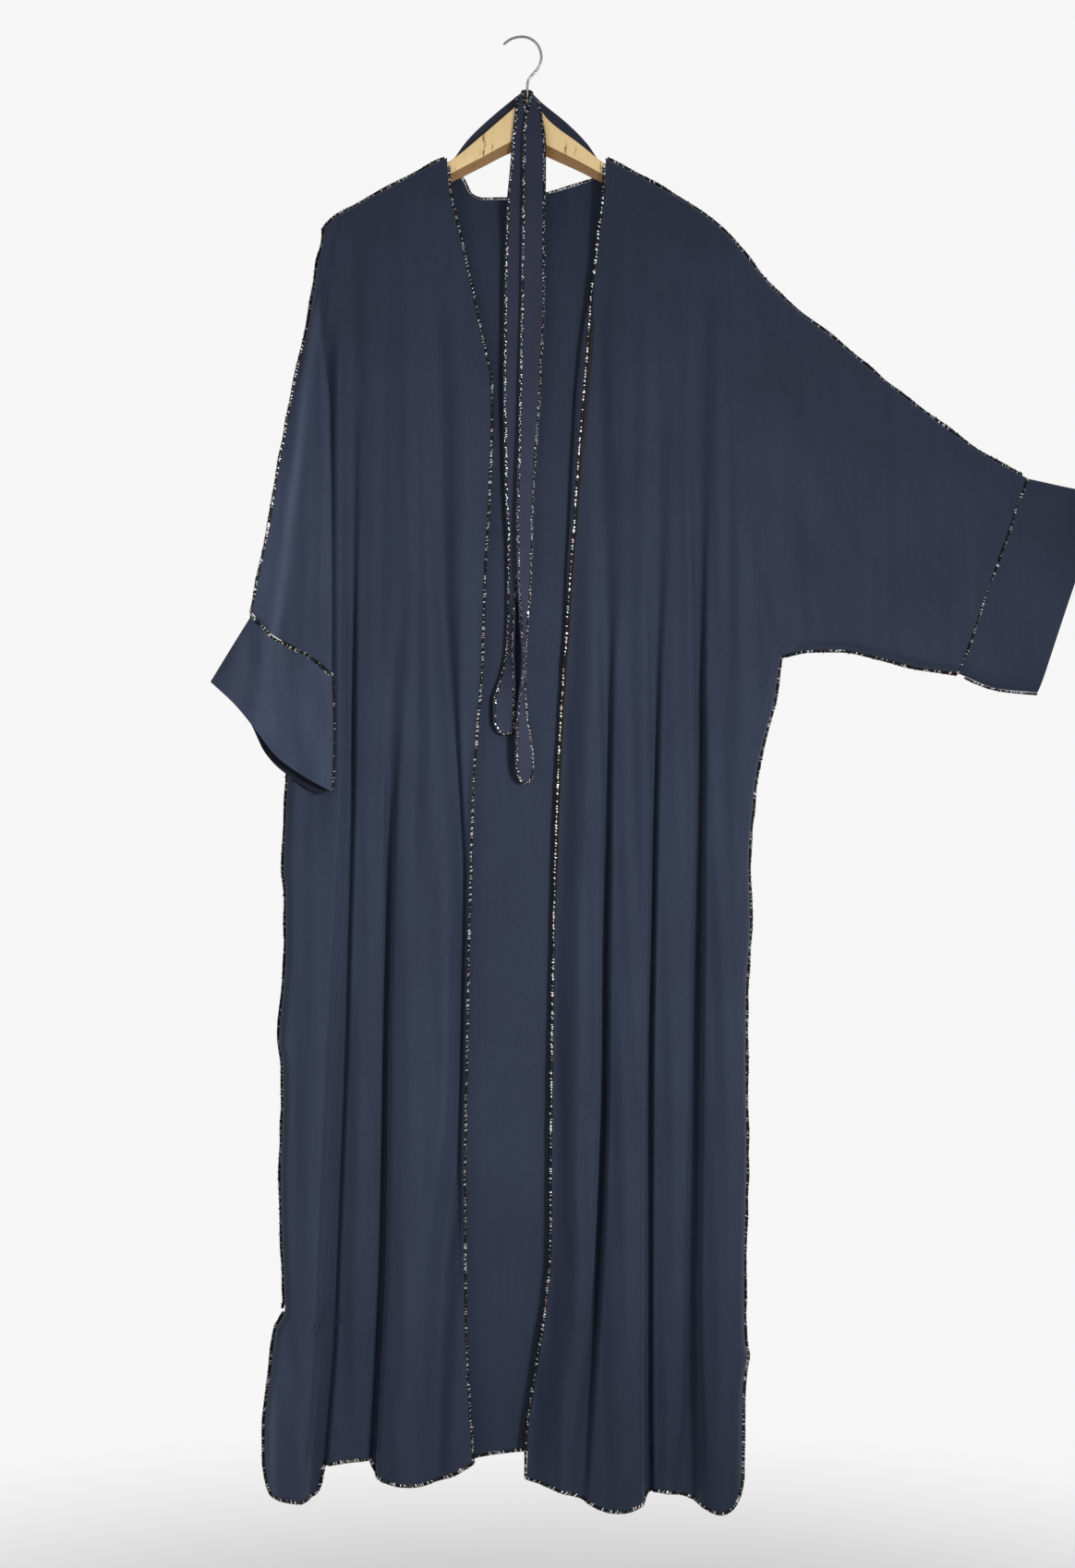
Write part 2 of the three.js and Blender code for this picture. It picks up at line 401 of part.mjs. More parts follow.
// Slow slanting folds of the spread sleeve: from, to, width, depth (depth over 0 is a trough).
const SLEEVE_FOLDS = [
  { x1: 245, z1: -300, x2: 420, z2: -660, wide: 26, depth: 3.2 },
  { x1: 330, z1: -360, x2: 400, z2: -460, wide: 22, depth: 2.2 },
  { x1: 250, z1: -520, x2: 272, z2: -690, wide: 14, depth: 3.5 },
];
function sleeveFolds(x, z) {
  let y = 0;
  for (const f of SLEEVE_FOLDS) {
    const dx = f.x2 - f.x1, dz = f.z2 - f.z1, t = ((x - f.x1) * dx + (z - f.z1) * dz) / (dx * dx + dz * dz), c = clamp(t, 0, 1);
    const d = Math.hypot(x - f.x1 - c * dx, z - f.z1 - c * dz);
    y += f.depth * Math.exp(-((d / f.wide) ** 2));
  }
  return y;
}
function spreadPoint(j, i, columns, sideCol, topOf, underOf, edgeAt, front, acrossAt) {
  // Place across and down.
  let x, z;
  const xTop = topOf(j), zTop = front || xTop >= 91 ? shoulderLeft(xTop) : neckLine(xTop);
  if (j > sideCol) {
    const xu = underOf(j), s = UPPER[i];
    x = lerp(xTop, xu, s);
    z = lerp(zTop, underseam(xu), s);
  } else if (rowIsUpper(i)) {
    const s = UPPER[i];
    z = lerp(zTop, UNDERARM, s);
    x = lerp(xTop, acrossAt(j, z), clamp(s / 0.15, 0, 1) ** 0.8);
  } else {
    const s = LOWER[i - UNDER_ROW - 1];
    let xs = acrossAt(j, lerp(UNDERARM, -1590, s));
    z = lerp(UNDERARM, (front ? hemLeft : hemBack)(xs), s);
    x = acrossAt(j, z);
  }
  return { x, z, xTop, zTop };
}
function leftDepth(x, z, j, i, sideCol, zTop, front) {
  const over = ridgeLeft(x) - z;
  const sleeve = clamp((x - 250) / 250, 0, 1);
  let full;
  if (front) full = frontDepth(FOLDS_LEFT, x, z) - sleeveFolds(x, z) - sleeve * 4;
  else full = backDepth(x, z) - sleeve * 2;
  let share = seamShare(over * 0.9, lerp(SHOULDER_ROUND, SIDE_ROUND, clamp((x - 215) / 40, 0, 1)));
  if (j > sideCol) share = Math.min(share, rounded(z - underseam(clamp(x, 283, 477)), SIDE_ROUND));
  if (j === sideCol && i === UNDER_ROW) share = 0;
  if (i > UNDER_ROW) {
    const open = i > SLIT_ROW ? (i === SLIT_ROW + 1 ? 0.2 : 0.36) : i === SLIT_ROW ? 0.07 : 0;
    share = Math.min(share, Math.max(open, rounded(body.sideL(z) - x, SIDE_ROUND)));
  } else if (i === UNDER_ROW && j < sideCol) share = Math.min(share, rounded(283 - x, SIDE_ROUND));
  return SEAM + (full - SEAM) * share;
}
const frontLeftAt = (j, i) => {
  const { x, z, zTop } = spreadPoint(j, i, COLS_LEFT, SIDE_COL_LEFT, FRONT_LEFT_TOP, UNDER_LEFT, body.edgeL, true, (c, zz) => distances(COLS_LEFT, body.edgeL(zz), zz > UNDERARM ? lerp(283, 292, clamp((zz - UNDERARM) / 390, 0, 1)) : body.sideL(zz), zz, 1)[c]);
  return V(x, -leftDepth(x, z, j, i, SIDE_COL_LEFT, zTop, true), z);
};
const frontLeft = new Sheet().grid(SIDE_COL_LEFT + SLEEVE_CELLS, LAST_ROW, (j, i) => j < SIDE_COL_LEFT || i < UNDER_ROW, (j, i) => "l" + j + "," + i, frontLeftAt);

// Right front, with the hanging sleeve cut in one with it: body, the turn at the underseam, the layer folded back,
// the turn at the folded edge, and the sleeve's visible layer.
const COLS_RIGHT = acrossFolds(FOLDS_RIGHT);
const SIDE_COL_RIGHT = COLS_RIGHT.length - 1;
const TOP_RIGHT = [-83, -87, -92, -99, -106, -117, -127, -134, -141, -158, -172, -179, -185, -189, -194, -197];
// The hanging sleeve's columns: where each lies at the top, and by which rule further down.
const HANG_COLS = [
  { top: -200, rule: "under" },
  { top: -203, rule: "middle" },
  { top: -206, rule: "turn1" },
  { top: -208.5, rule: "turn2" },
  { top: -210.5, rule: "turn3" },
  { top: -212.4, rule: "layer", t: 0.25 },
  { top: -214.2, rule: "layer", t: 0.5 },
  { top: -216, rule: "layer", t: 0.76 },
  { top: -218, rule: "layer", t: 1 },
];
function hangPoint(c, i) {
  const at = UPPER[i], w = hang.across(at), over = hang.overX(at), fold = hang.foldX(at), under = hang.underX(at), yo = -hang.overY(at);
  const zTop = shoulderRight(c.top);
  let x, y, zEnd;
  if (c.rule === "under") (x = under + 0.8), (y = HANG_BACK - 1), (zEnd = cuffSeamHang(-216));
  else if (c.rule === "middle") (x = lerp(under, fold, 0.5)), (y = HANG_BACK), (zEnd = cuffSeamHang(-214));
  else if (c.rule === "turn1") (x = fold - 2.6), (y = HANG_BACK + 0.8), (zEnd = cuffSeamHang(-211));
  else if (c.rule === "turn2") (x = fold), (y = (HANG_BACK + HANG_FORE) / 2), (zEnd = cuffSeamHang(-208));
  else if (c.rule === "turn3") (x = fold - 2.6), (y = HANG_FORE - 0.8), (zEnd = cuffSeamHang(-211));
  else {
    x = lerp(fold, over, c.t);
    zEnd = cuffSeamHang(lerp(-208, -294, c.t));
    y = c.t === 1 ? yo + SEAM : lerp(HANG_FORE, yo, c.t ** 3);
  }
  const z = lerp(zTop, zEnd, at);
  // Near the tip the layers lie in one surface that rounds over the wood's end.
  const flat = SEAM + (9 - SEAM) * Math.min(seamShare((zTop - z) * 0.9, SHOULDER_ROUND), c.rule === "layer" ? rounded((c.top + 218) * 1.6, 9) : 1);
  const apart = hang.apart(at);
  if (c.rule === "layer" && c.t === 1) y = lerp(SEAM, y, apart > 0 ? 1 : 0);
  else y = lerp(flat, y, apart);
  const spread = lerp(clamp(at / 0.08, 0, 1), 1, w);
  const xFlat = lerp(c.top, lerp(lerp(under, fold, 0.3), over, clamp((-197 - c.top) / 21, 0, 1)), spread);
  return V(lerp(xFlat, x, w), -y, z);
}
const rightSide = (z) => body.sideR(z);
function rightBodyXZ(j, i, columns, topOf, front, acrossAt) {
  const xTop = topOf(j), zTop = front || xTop <= -83 ? shoulderRight(xTop) : neckLine(xTop);
  let x, z;
  if (rowIsUpper(i)) {
    const s = UPPER[i];
    z = lerp(zTop, CUFF_LEVEL, s);
    x = lerp(xTop, acrossAt(j, z), clamp(s / 0.15, 0, 1) ** 0.8);
  } else {
    const s = LOWER[i - UNDER_ROW - 1];
    const xs = acrossAt(j, lerp(CUFF_LEVEL, -1575, s));
    z = lerp(CUFF_LEVEL, (front ? hemRight : hemBack)(xs), s);
    x = acrossAt(j, z);
  }
  return { x, z, zTop };
}
function sideShare(i, gone) {
  const open = i > SLIT_ROW ? (i === SLIT_ROW + 1 ? 0.2 : 0.36) : i === SLIT_ROW ? 0.07 : 0;
  return Math.max(open, rounded(gone, SIDE_ROUND));
}
const frontRightAt = (j, i) => {
  if (j > SIDE_COL_RIGHT) return hangPoint(HANG_COLS[j - SIDE_COL_RIGHT - 1], i);
  const { x, z, zTop } = rightBodyXZ(j, i, COLS_RIGHT, (c) => TOP_RIGHT[c], true, (c, zz) => distances(COLS_RIGHT, body.edgeR(zz), rightSide(zz), zz, -1)[c]);
  const full = frontDepth(FOLDS_RIGHT, x, z);
  let y = SEAM + (full - SEAM) * seamShare((ridgeRight(x) - z) * 0.9, SHOULDER_ROUND);
  if (i > CROTCH_ROW) y = SEAM + (full - SEAM) * sideShare(i, x - rightSide(z));
  else if (j === SIDE_COL_RIGHT) y = lerp(y, 19, hang.apart(UPPER[i]));
  return V(x, -y, z);
};
const frontRight = new Sheet().grid(
  SIDE_COL_RIGHT + HANG_COLS.length,
  LAST_ROW,
  (j, i) => (j < SIDE_COL_RIGHT ? true : j === SIDE_COL_RIGHT ? i < CROTCH_ROW : i < UNDER_ROW),
  (j, i) => "r" + j + "," + i,
  frontRightAt,
);

// ---------------------------------------------------------------- the back, in one piece with the backs of both sleeves
const BACK_SHARES = [0, 0.13, 0.25, 0.31, 0.36, 0.45, 0.56, 0.68, 0.79, 0.9, 0.965, 1];
const BACK_TOP_LEFT = [CENTRE, 34, 64, 83, 89.5, 91, 119, 150, 182, 226, 270, 292];
const BACK_TOP_RIGHT = [CENTRE, -30, -59, -75, -81.5, -83, -106, -130, -152, -176, -190, -196];
const BACK_SIDE = BACK_SHARES.length - 1;
const backLeftAt = (j, i) => {
  const across = (c, zz) => lerp(CENTRE, zz > UNDERARM ? lerp(283, 292, clamp((zz - UNDERARM) / 390, 0, 1)) : body.sideL(zz), BACK_SHARES[c]);
  const { x, z, zTop } = spreadPoint(j, i, null, BACK_SIDE, (c) => (c <= BACK_SIDE ? BACK_TOP_LEFT[c] : lerp(292, 552, (c - BACK_SIDE) / SLEEVE_CELLS)), (c) => lerp(283, 477, (c - BACK_SIDE) / SLEEVE_CELLS), null, false, across);
  return V(x, leftDepth(x, z, j, i, BACK_SIDE, zTop, false), z);
};
// The back of the hanging sleeve: it goes round the underseam's turn to the seam over the arm.
const HANG_BACK_COLS = [
  { top: -201, t: 0 }, { top: -205, t: 0.25 }, { top: -209.5, t: 0.5 }, { top: -214, t: 0.76 }, { top: -218, t: 1 },
];
const backRightAt = (j, i) => {
  if (j > BACK_SIDE) {
    const c = HANG_BACK_COLS[j - BACK_SIDE - 1], at = UPPER[i];
    const over = hang.overX(at), under = hang.underX(at), yo = -hang.overY(at), apart = hang.apart(at), w = hang.across(at);
    const zTop = shoulderRight(c.top);
    const z = lerp(zTop, cuffSeamHang(lerp(-216, -294, c.t)), at);
    const flat = SEAM + (9 - SEAM) * Math.min(seamShare((zTop - z) * 0.9, SHOULDER_ROUND), rounded((c.top + 218) * 1.6, 9));
    let x, y;
    if (i <= CROTCH_ROW) {
      x = lerp(under - 2.6, over, c.t);
      y = lerp(11, yo, [0.86, 0.93, 0.97, 0.99, 1][j - BACK_SIDE - 1] * w + [0.3, 0.5, 0.7, 0.85, 1][j - BACK_SIDE - 1] * (1 - w));
      y = c.t === 1 ? yo - SEAM : -lerp(flat, -Math.min(y, yo + 0 * y), 0) + 0;
      // from the back's own depth round to the arm seam
      y = c.t === 1 ? -(yo - SEAM) : lerp(flat, lerp(-6, -(yo - 2.4), clamp(c.t * 1.25 + 0.1, 0, 1)), apart);
    } else {
      x = lerp(under - 0.8, over, c.t);
      y = c.t === 1 ? -(yo - SEAM) : -(HANG_BACK - 1 + lerp(0, 3.4, c.t ** 2));
    }
    if (c.t === 1) y = apart > 0 ? -(yo - SEAM) : SEAM;
    const xFlat = lerp(c.top, lerp(lerp(under, hang.foldX(at), 0.2) - 1, over, clamp((-197 - c.top) / 21, 0, 1)), clamp(at / 0.08, 0, 1));
    return V(lerp(xFlat, x, w), y, z);
  }
  const across = (c, zz) => lerp(CENTRE, rightSide(zz), BACK_SHARES[c]);
  const { x, z, zTop } = rightBodyXZ(j, i, null, (c) => BACK_TOP_RIGHT[c], false, across);
  const full = backDepth(x, z);
  let y = SEAM + (full - SEAM) * seamShare((ridgeRight(x) - z) * 0.9, SHOULDER_ROUND);
  if (i > CROTCH_ROW) y = SEAM + (full - SEAM) * sideShare(i, x - rightSide(z));
  else if (j === BACK_SIDE) y = lerp(y, -3, hang.apart(UPPER[i]));
  return V(j === BACK_SIDE && i <= CROTCH_ROW ? lerp(x, x - 2.4, hang.across(UPPER[i])) : x, y, z);
};
const centreKey = (side) => (j, i) => (j === 0 ? "c" + i : side + j + "," + i);
const back = new Sheet();
// Both halves share the middle column, so its level is the mean of the two.
const middle = (i) => {
  const a = backLeftAt(0, i), b = backRightAt(0, i);
  return V(CENTRE, (a.y + b.y) / 2, (a.z + b.z) / 2);
};
back.grid(BACK_SIDE + SLEEVE_CELLS, LAST_ROW, (j, i) => j < BACK_SIDE || i < UNDER_ROW, centreKey("l"), (j, i) => (j === 0 ? middle(i) : backLeftAt(j, i)));
back.grid(
  BACK_SIDE + HANG_BACK_COLS.length,
  LAST_ROW,
  (j, i) => (j < BACK_SIDE ? true : j === BACK_SIDE ? i < CROTCH_ROW : i < UNDER_ROW),
  centreKey("r"),
  (j, i) => (j === 0 ? middle(i) : backRightAt(j, i)),
  true,
);

// ---------------------------------------------------------------- the cuffs, each a tube
// Round each: front shares from the arm seam to the underseam, then back again behind.
const CUFF_ROUND = [0, 0.06, 0.25, 0.5, 0.75, 0.94, 1, 0.94, 0.75, 0.5, 0.25, 0.06];
const cuffTube = (rows, corner, depth) => {
  const n = CUFF_ROUND.length, s = new Sheet();
  return s.grid(n, rows, () => true, (j, i) => (j % n) + "," + i, (j, i) => {
    const k = j % n, u = CUFF_ROUND[k], q = corner(u, i / rows), d = depth(u, i / rows);
    return V(q.x, k === 0 || k === n / 2 ? d.mid : k < n / 2 ? d.front : d.back, q.z);
  });
};
const cs = Object.fromEntries(["topX", "topZ", "lowX", "lowZ"].map((k) => [k, through(CUFF_SPREAD, "at", k)]));
const cuffLeft = cuffTube(
  3,
  (u, t) => V(lerp(cs.topX(t), cs.lowX(t), u), 0, lerp(cs.topZ(t), cs.lowZ(t), u)),
  (u, t) => {
    const e = rounded(Math.min(u, 1 - u) * 220, 22), x = lerp(552, 478, u) + 60 * t;
    return { front: -(0.9 + (9.2 + 1.5 * t) * e), back: 0.9 + (8.8 + 1.5 * t) * e, mid: 0 };
  },
);
const ch = Object.fromEntries(["seamX", "seamZ", "midX", "midZ", "endX", "endZ"].map((k) => [k, through(CUFF_HANG, "u", k)]));
const cuffRight = cuffTube(
  3,
  (u, t) => {
    const q = (a, b, c) => (1 - t) * (1 - 2 * t) * a + 4 * t * (1 - t) * b + t * (2 * t - 1) * c;
    return V(q(ch.seamX(u), ch.midX(u), ch.endX(u)), 0, q(cuffSeamHang(ch.seamX(u)) - 2.6, ch.midZ(u), ch.endZ(u)));
  },
  (u, t) => {
    const e = rounded(Math.min(u, 1 - u) * 160, 20);
    return { front: -(31.9 + (6.2 + 3 * t) * e), back: -(30.1 - (4.2 + 0.5 * t) * e), mid: -31 };
  },
);

// ---------------------------------------------------------------- edgings
const run = (sheet, keys) => keys.map((k) => sheet.at(k).clone());
const range = (a, b) => (a <= b ? Array.from({ length: b - a + 1 }, (_, i) => a + i) : Array.from({ length: a - b + 1 }, (_, i) => a - i));
// Front edge, round the corner, along the hem and up the slit.
function frontEdging(sheet, side, sideCol, hand) {
  const down = range(2, LAST_ROW).map((i) => side + "0," + i), hem = range(1, sideCol).map((j) => side + j + "," + LAST_ROW), up = range(LAST_ROW - 1, SLIT_ROW).map((i) => side + sideCol + "," + i);
  const keys = [...down, ...hem, ...up], points = run(sheet, keys);
  const out = points.map((_, k) => {
    const x = k < down.length ? -hand : k >= down.length + hem.length - 1 ? hand : 0, z = k >= down.length - 1 && k < down.length + hem.length ? -1 : 0;
    return V(x, 0, z);
  });
  return edging(points, out, (k) => (k < down.length - 1 ? 0.5 : k < down.length + hem.length - 1 ? 0.8 : 1.3), GAP + TRIM_WIDE, TRIM_HALF);
}
function backEdging() {
  const down = range(SLIT_ROW, LAST_ROW).map((i) => "l" + BACK_SIDE + "," + i), hemL = range(BACK_SIDE - 1, 1).map((j) => "l" + j + "," + LAST_ROW);
  const hemR = range(1, BACK_SIDE).map((j) => "r" + j + "," + LAST_ROW), up = range(LAST_ROW - 1, SLIT_ROW).map((i) => "r" + BACK_SIDE + "," + i);
  const keys = [...down, ...hemL, "c" + LAST_ROW, ...hemR, ...up], points = run(back, keys);
  const out = keys.map((_, k) => {
    const x = k < down.length ? 1 : k >= keys.length - up.length - 1 ? -1 : 0, z = k >= down.length - 1 && k <= keys.length - up.length - 1 ? -1 : 0;
    return V(x, 0, z);
  });
  return edging(points, out, (k) => (k < down.length || k > keys.length - up.length - 2 ? 1.3 : 0.6), GAP + TRIM_WIDE, TRIM_HALF);
}
function neckEdging() {
  const keys = [...range(3, 1).map((j) => "r" + j + ",0"), "c0", ...range(1, 3).map((j) => "l" + j + ",0")];
  const points = run(back, keys);
  return edging(points, points.map(() => V(0, 0, 1)), GAP, GAP + TRIM_WIDE * 0.8, TRIM_HALF * 0.8);
}
// The seams over the arms and down the sides, midway between the two panels that meet there.
const leftArm = [95, 104, 119, 135, 150, 166, 182, 200, 221, 250, 276, 313, 350, 387, 424, 466, 509, 548].map((x) => V(x, 0, shoulderLeft(x)));
const rightArm = [-86, -94, -103, -120, -134, -148, -163, -178, -192, -204, -212, -217.5].map((x) => V(x, 0, shoulderRight(x)));
rightArm.push(...range(3, UNDER_ROW).map((i) => frontRightAt(SIDE_COL_RIGHT + HANG_COLS.length, i).lerp(backRightAt(BACK_SIDE + HANG_BACK_COLS.length, i), 0.5)));
rightArm[rightArm.length - 1].lerp(rightArm[rightArm.length - 2], 0.04);
const leftSide = [
  ...range(SLIT_ROW - 1, UNDER_ROW).map((i) => frontLeft.at("l" + SIDE_COL_LEFT + "," + i).clone().lerp(back.at("l" + BACK_SIDE + "," + i), 0.5)),
  ...range(1, SLEEVE_CELLS).map((k) => frontLeft.at("l" + (SIDE_COL_LEFT + k) + "," + UNDER_ROW).clone().lerp(back.at("l" + (BACK_SIDE + k) + "," + UNDER_ROW), 0.5)),
];
leftSide[leftSide.length - 1].lerp(leftSide[leftSide.length - 2], 0.05);
const rightSideRun = range(CROTCH_ROW + 1, SLIT_ROW - 1).map((i) => frontRight.at("r" + SIDE_COL_RIGHT + "," + i).clone().lerp(back.at("r" + BACK_SIDE + "," + i), 0.5));

// Round the seam between a sleeve and its cuff, proud of the cloth outside.
function cuffSeamEdging(cuff, lift) {
  const n = CUFF_ROUND.length, points = range(0, n - 1).map((j) => cuff.at(j + ",0").clone());
  const middle = points.reduce((a, p) => a.add(p), V(0, 0, 0)).multiplyScalar(1 / n);
  const rings = points.map((p, k) => {
    const before = points[(k + n - 1) % n], after = points[(k + 1) % n];
    const along = new THREE.Vector3().subVectors(after, before).normalize();
    const down = new THREE.Vector3().subVectors(cuff.at(k + ",1"), p);
    const off = new THREE.Vector3().crossVectors(along, down).normalize();
    if (off.y * (k < n / 2 ? -1 : 1) < 0 && k % (n / 2)) off.negate();
    if (k % (n / 2) === 0) {
      off.set(-down.z, 0, down.x).normalize();
      if (off.dot(new THREE.Vector3().subVectors(p, points[(k + n / 2) % n])) < 0) off.negate();
    }
    const seam = new THREE.Vector3().crossVectors(along, off).normalize().multiplyScalar(1.5);
    const o = p.clone().addScaledVector(down.normalize(), -lift);
    return [o.clone().addScaledVector(off, 1.2).add(seam), o.clone().addScaledVector(off, 3).add(seam), o.clone().addScaledVector(off, 3).sub(seam), o.clone().addScaledVector(off, 1.2).sub(seam)];
  });
  return loft(rings, true);
}
// Along the underseam of a cuff, from the sleeve to the open end.
function cuffEdging(cuff, hand) {
  const points = range(0, 3).map((i) => cuff.at(CUFF_ROUND.length / 2 + "," + i).clone());
  points[0].lerp(points[1], 0.2);
  return edging(points, outward(points, hand), 1.5, 1.5 + TRIM_WIDE * 0.85, SEAM_TRIM_HALF);
}

// ---------------------------------------------------------------- belt, hanging loops, hanger, hook
// A ribbon of two cells across, so that both its faces turn alike where it twists.
function ribbon(rows, thick) {
  const at = (j, i) => V(rows[i].x + (j - 1) * rows[i].wx, rows[i].y + (j - 1) * rows[i].wy, rows[i].z + (j - 1) * rows[i].wz);
  return new Sheet().grid(2, rows.length - 1, () => true, (j, i) => j + "," + i, at).solid(thick);
}
// The belt lies in three stretches: two strips hang from a loop that turns sharply over the wood. They are cut apart
// by GAP at the rows where the ribbon leaves the wood and runs straight.
const LOOP_FROM = 13, LOOP_TO = 21;
const partWay = (a, b) => {
  const t = GAP / 2 / Math.hypot(b.x - a.x, b.y - a.y, b.z - a.z);
  return Object.fromEntries(Object.keys(a).map((k) => [k, lerp(a[k], b[k], t)]));
};
const stretch = (from, to) => {
  const rows = BELT.slice(from, to + 1), n = rows.length;
  if (from > 0) rows[0] = partWay(rows[0], rows[1]);
  if (to < BELT.length - 1) rows[n - 1] = partWay(rows[n - 1], rows[n - 2]);
  return ribbon(rows, BELT_CLOTH);
};
const tape =ribbon(TAPE.map((r) => ({ ...r, wx: 0, wy: 0, wz: r.half })), LOOP_CLOTH);

// Each section of the wood: a rounded top, a flat face, and a lower edge cut away towards the front.
const wood = loft(
  HANGER.map((h) => [
    V(h.x, -h.half, h.face), V(h.x, -h.half, h.top - 2.2), V(h.x, -h.half + 2.2, h.top), V(h.x, h.half - 2.2, h.top),
    V(h.x, h.half, h.top - 2.2), V(h.x, h.half, h.low + 2.5), V(h.x, h.half - 2, h.low), V(h.x, h.half - 5, h.low),
  ]),
);
const hookCurve = new THREE.CatmullRomCurve3(HOOK.map((p) => V(p.x, 0, p.z)), false, "centripetal");
const wireShape = new THREE.Shape(Array.from({ length: 8 }, (_, k) => new THREE.Vector2(WIRE * Math.cos((k * Math.PI) / 4), WIRE * Math.sin((k * Math.PI) / 4))));
const hook = new THREE.ExtrudeGeometry(wireShape, { steps: 26, extrudePath: hookCurve, bevelEnabled: false });

const solidOf = (geometry) => {
  const g = geometry.clone();
  for (const a of Object.keys(g.attributes)) if (a !== "position") g.deleteAttribute(a);
  const m = mergeVertices(g, 1e-4);
  return new wasm.Manifold(new wasm.Mesh({ numProp: 3, vertProperties: m.attributes.position.array, triVerts: new Uint32Array(m.index.array) }));
};
const geometryOf = (solid) => {
  const m = solid.getMesh(), k = m.numProp, p = new Float32Array(m.numVert * 3);
  for (let i = 0; i < m.numVert; i++) p.set(m.vertProperties.subarray(i * k, i * k + 3), i * 3);
  return closed(p, Array.from(m.triVerts));
};
const bore = new THREE.CylinderGeometry(WIRE + GAP, WIRE + GAP, 30, 12).rotateX(Math.PI / 2).translate(5, 0, -64);
const woodBored = geometryOf(solidOf(wood).subtract(solidOf(bore)));

// ---------------------------------------------------------------- the object
const MATERIALS = {
  crepe: { color: "#343c4f", roughness: 0.82, metalness: 0 },
  edging: { color: "#4a4a46", roughness: 0.45, metalness: 0.5 },
  wood: { color: "#e0bd80", roughness: 0.5, metalness: 0 },
  steel: { color: "#8f9194", roughness: 0.3, metalness: 1 },
};
const abaya = new THREE.Group();
abaya.name = "abaya_on_hanger";
const add = (name, geometry, material) => {
  const mesh = new THREE.Mesh(geometry, new THREE.MeshStandardMaterial(MATERIALS[material]));
  mesh.name = name;
  abaya.add(mesh);
};
add("back", back.solid(CLOTH), "crepe");
add("front_right", frontRight.solid(CLOTH), "crepe");
add("front_left", frontLeft.solid(CLOTH), "crepe");
add("cuff_right", cuffRight.solid(CLOTH), "crepe");
add("cuff_left", cuffLeft.solid(CLOTH), "crepe");
add("belt_right_strip", stretch(0, LOOP_FROM), "crepe");
add("belt_loop", stretch(LOOP_FROM, LOOP_TO), "crepe");
add("belt_left_strip", stretch(LOOP_TO, BELT.length - 1), "crepe");
add("hanging_loops", tape, "crepe");
add("edging_front_right", frontEdging(frontRight, "r", SIDE_COL_RIGHT, -1), "edging");
add("edging_front_left", frontEdging(frontLeft, "l", SIDE_COL_LEFT, 1), "edging");
add("edging_back_hem", backEdging(), "edging");
add("edging_neck", neckEdging(), "edging");
add("edging_arm_left", edging(leftArm, outward(leftArm, 1), 1.5, 1.5 + TRIM_WIDE, SEAM_TRIM_HALF), "edging");
add("edging_arm_right", edging(rightArm, outward(rightArm, -1), 1.5, 1.5 + TRIM_WIDE, SEAM_TRIM_HALF), "edging");
add("edging_side_left", edging(leftSide, outward(leftSide, -1), 1.1, 1.1 + TRIM_WIDE, SEAM_TRIM_HALF), "edging");
add("edging_side_right", edging(rightSideRun, outward(rightSideRun, -1), 1.1, 1.1 + TRIM_WIDE, SEAM_TRIM_HALF), "edging");
add("edging_cuff_seam_right", cuffSeamEdging(cuffRight, -2.4), "edging");
add("edging_cuff_seam_left", cuffSeamEdging(cuffLeft, -2.4), "edging");
add("edging_cuff_right", cuffEdging(cuffRight, 1), "edging");
add("edging_cuff_left", cuffEdging(cuffLeft, -1), "edging");
add("hanger", woodBored, "wood");
add("hook", hook, "steel");

export default abaya;
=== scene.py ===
# An open-front batwing abaya with its belt, hung on a wooden hanger with a steel hook.
# Tables are in millimetres, +Z up; the meshes are made in metres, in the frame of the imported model.
import bpy
import math
import numpy as np
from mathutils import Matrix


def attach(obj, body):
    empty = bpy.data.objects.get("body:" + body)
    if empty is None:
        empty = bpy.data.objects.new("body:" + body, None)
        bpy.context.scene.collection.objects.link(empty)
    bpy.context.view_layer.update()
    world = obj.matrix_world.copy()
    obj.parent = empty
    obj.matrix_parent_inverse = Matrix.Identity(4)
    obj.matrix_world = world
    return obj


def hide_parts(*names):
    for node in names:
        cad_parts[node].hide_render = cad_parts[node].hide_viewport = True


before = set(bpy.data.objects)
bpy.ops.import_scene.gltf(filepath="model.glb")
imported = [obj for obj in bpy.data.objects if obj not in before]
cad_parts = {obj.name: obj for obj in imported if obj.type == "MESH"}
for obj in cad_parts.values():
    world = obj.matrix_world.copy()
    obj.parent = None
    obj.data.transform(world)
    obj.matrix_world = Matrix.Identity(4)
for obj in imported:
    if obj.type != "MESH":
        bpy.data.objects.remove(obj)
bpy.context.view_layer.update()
rng = np.random.default_rng(11)

# ---------------------------------------------------------------- sizes
CLOTH = 0.9          # the crepe with its nap
BELT_CLOTH = 1.5
TAPE_CLOTH = 1.0
SEAM = 0.8
CENTRE = 4.0
UNDERARM = -677.0
CUFF_LEVEL = -690.0
CROTCH = 0.66        # the hanging sleeve's underarm, as a share of the way from shoulder to cuff level
SHOULDER_ROUND = 7.0
SIDE_ROUND = 10.5
HANG_FORE = 36.0
HANG_BACK = 26.0
TRIM = 3.4           # the glitter edging, across
SLIT_TOP_R = -1402.0
SLIT_TOP_L = -1436.0


def table(names, *rows):
    """Named columns of a short table."""
    a = np.array(rows, float)
    return {n: a[:, k] for k, n in enumerate(names.split())}


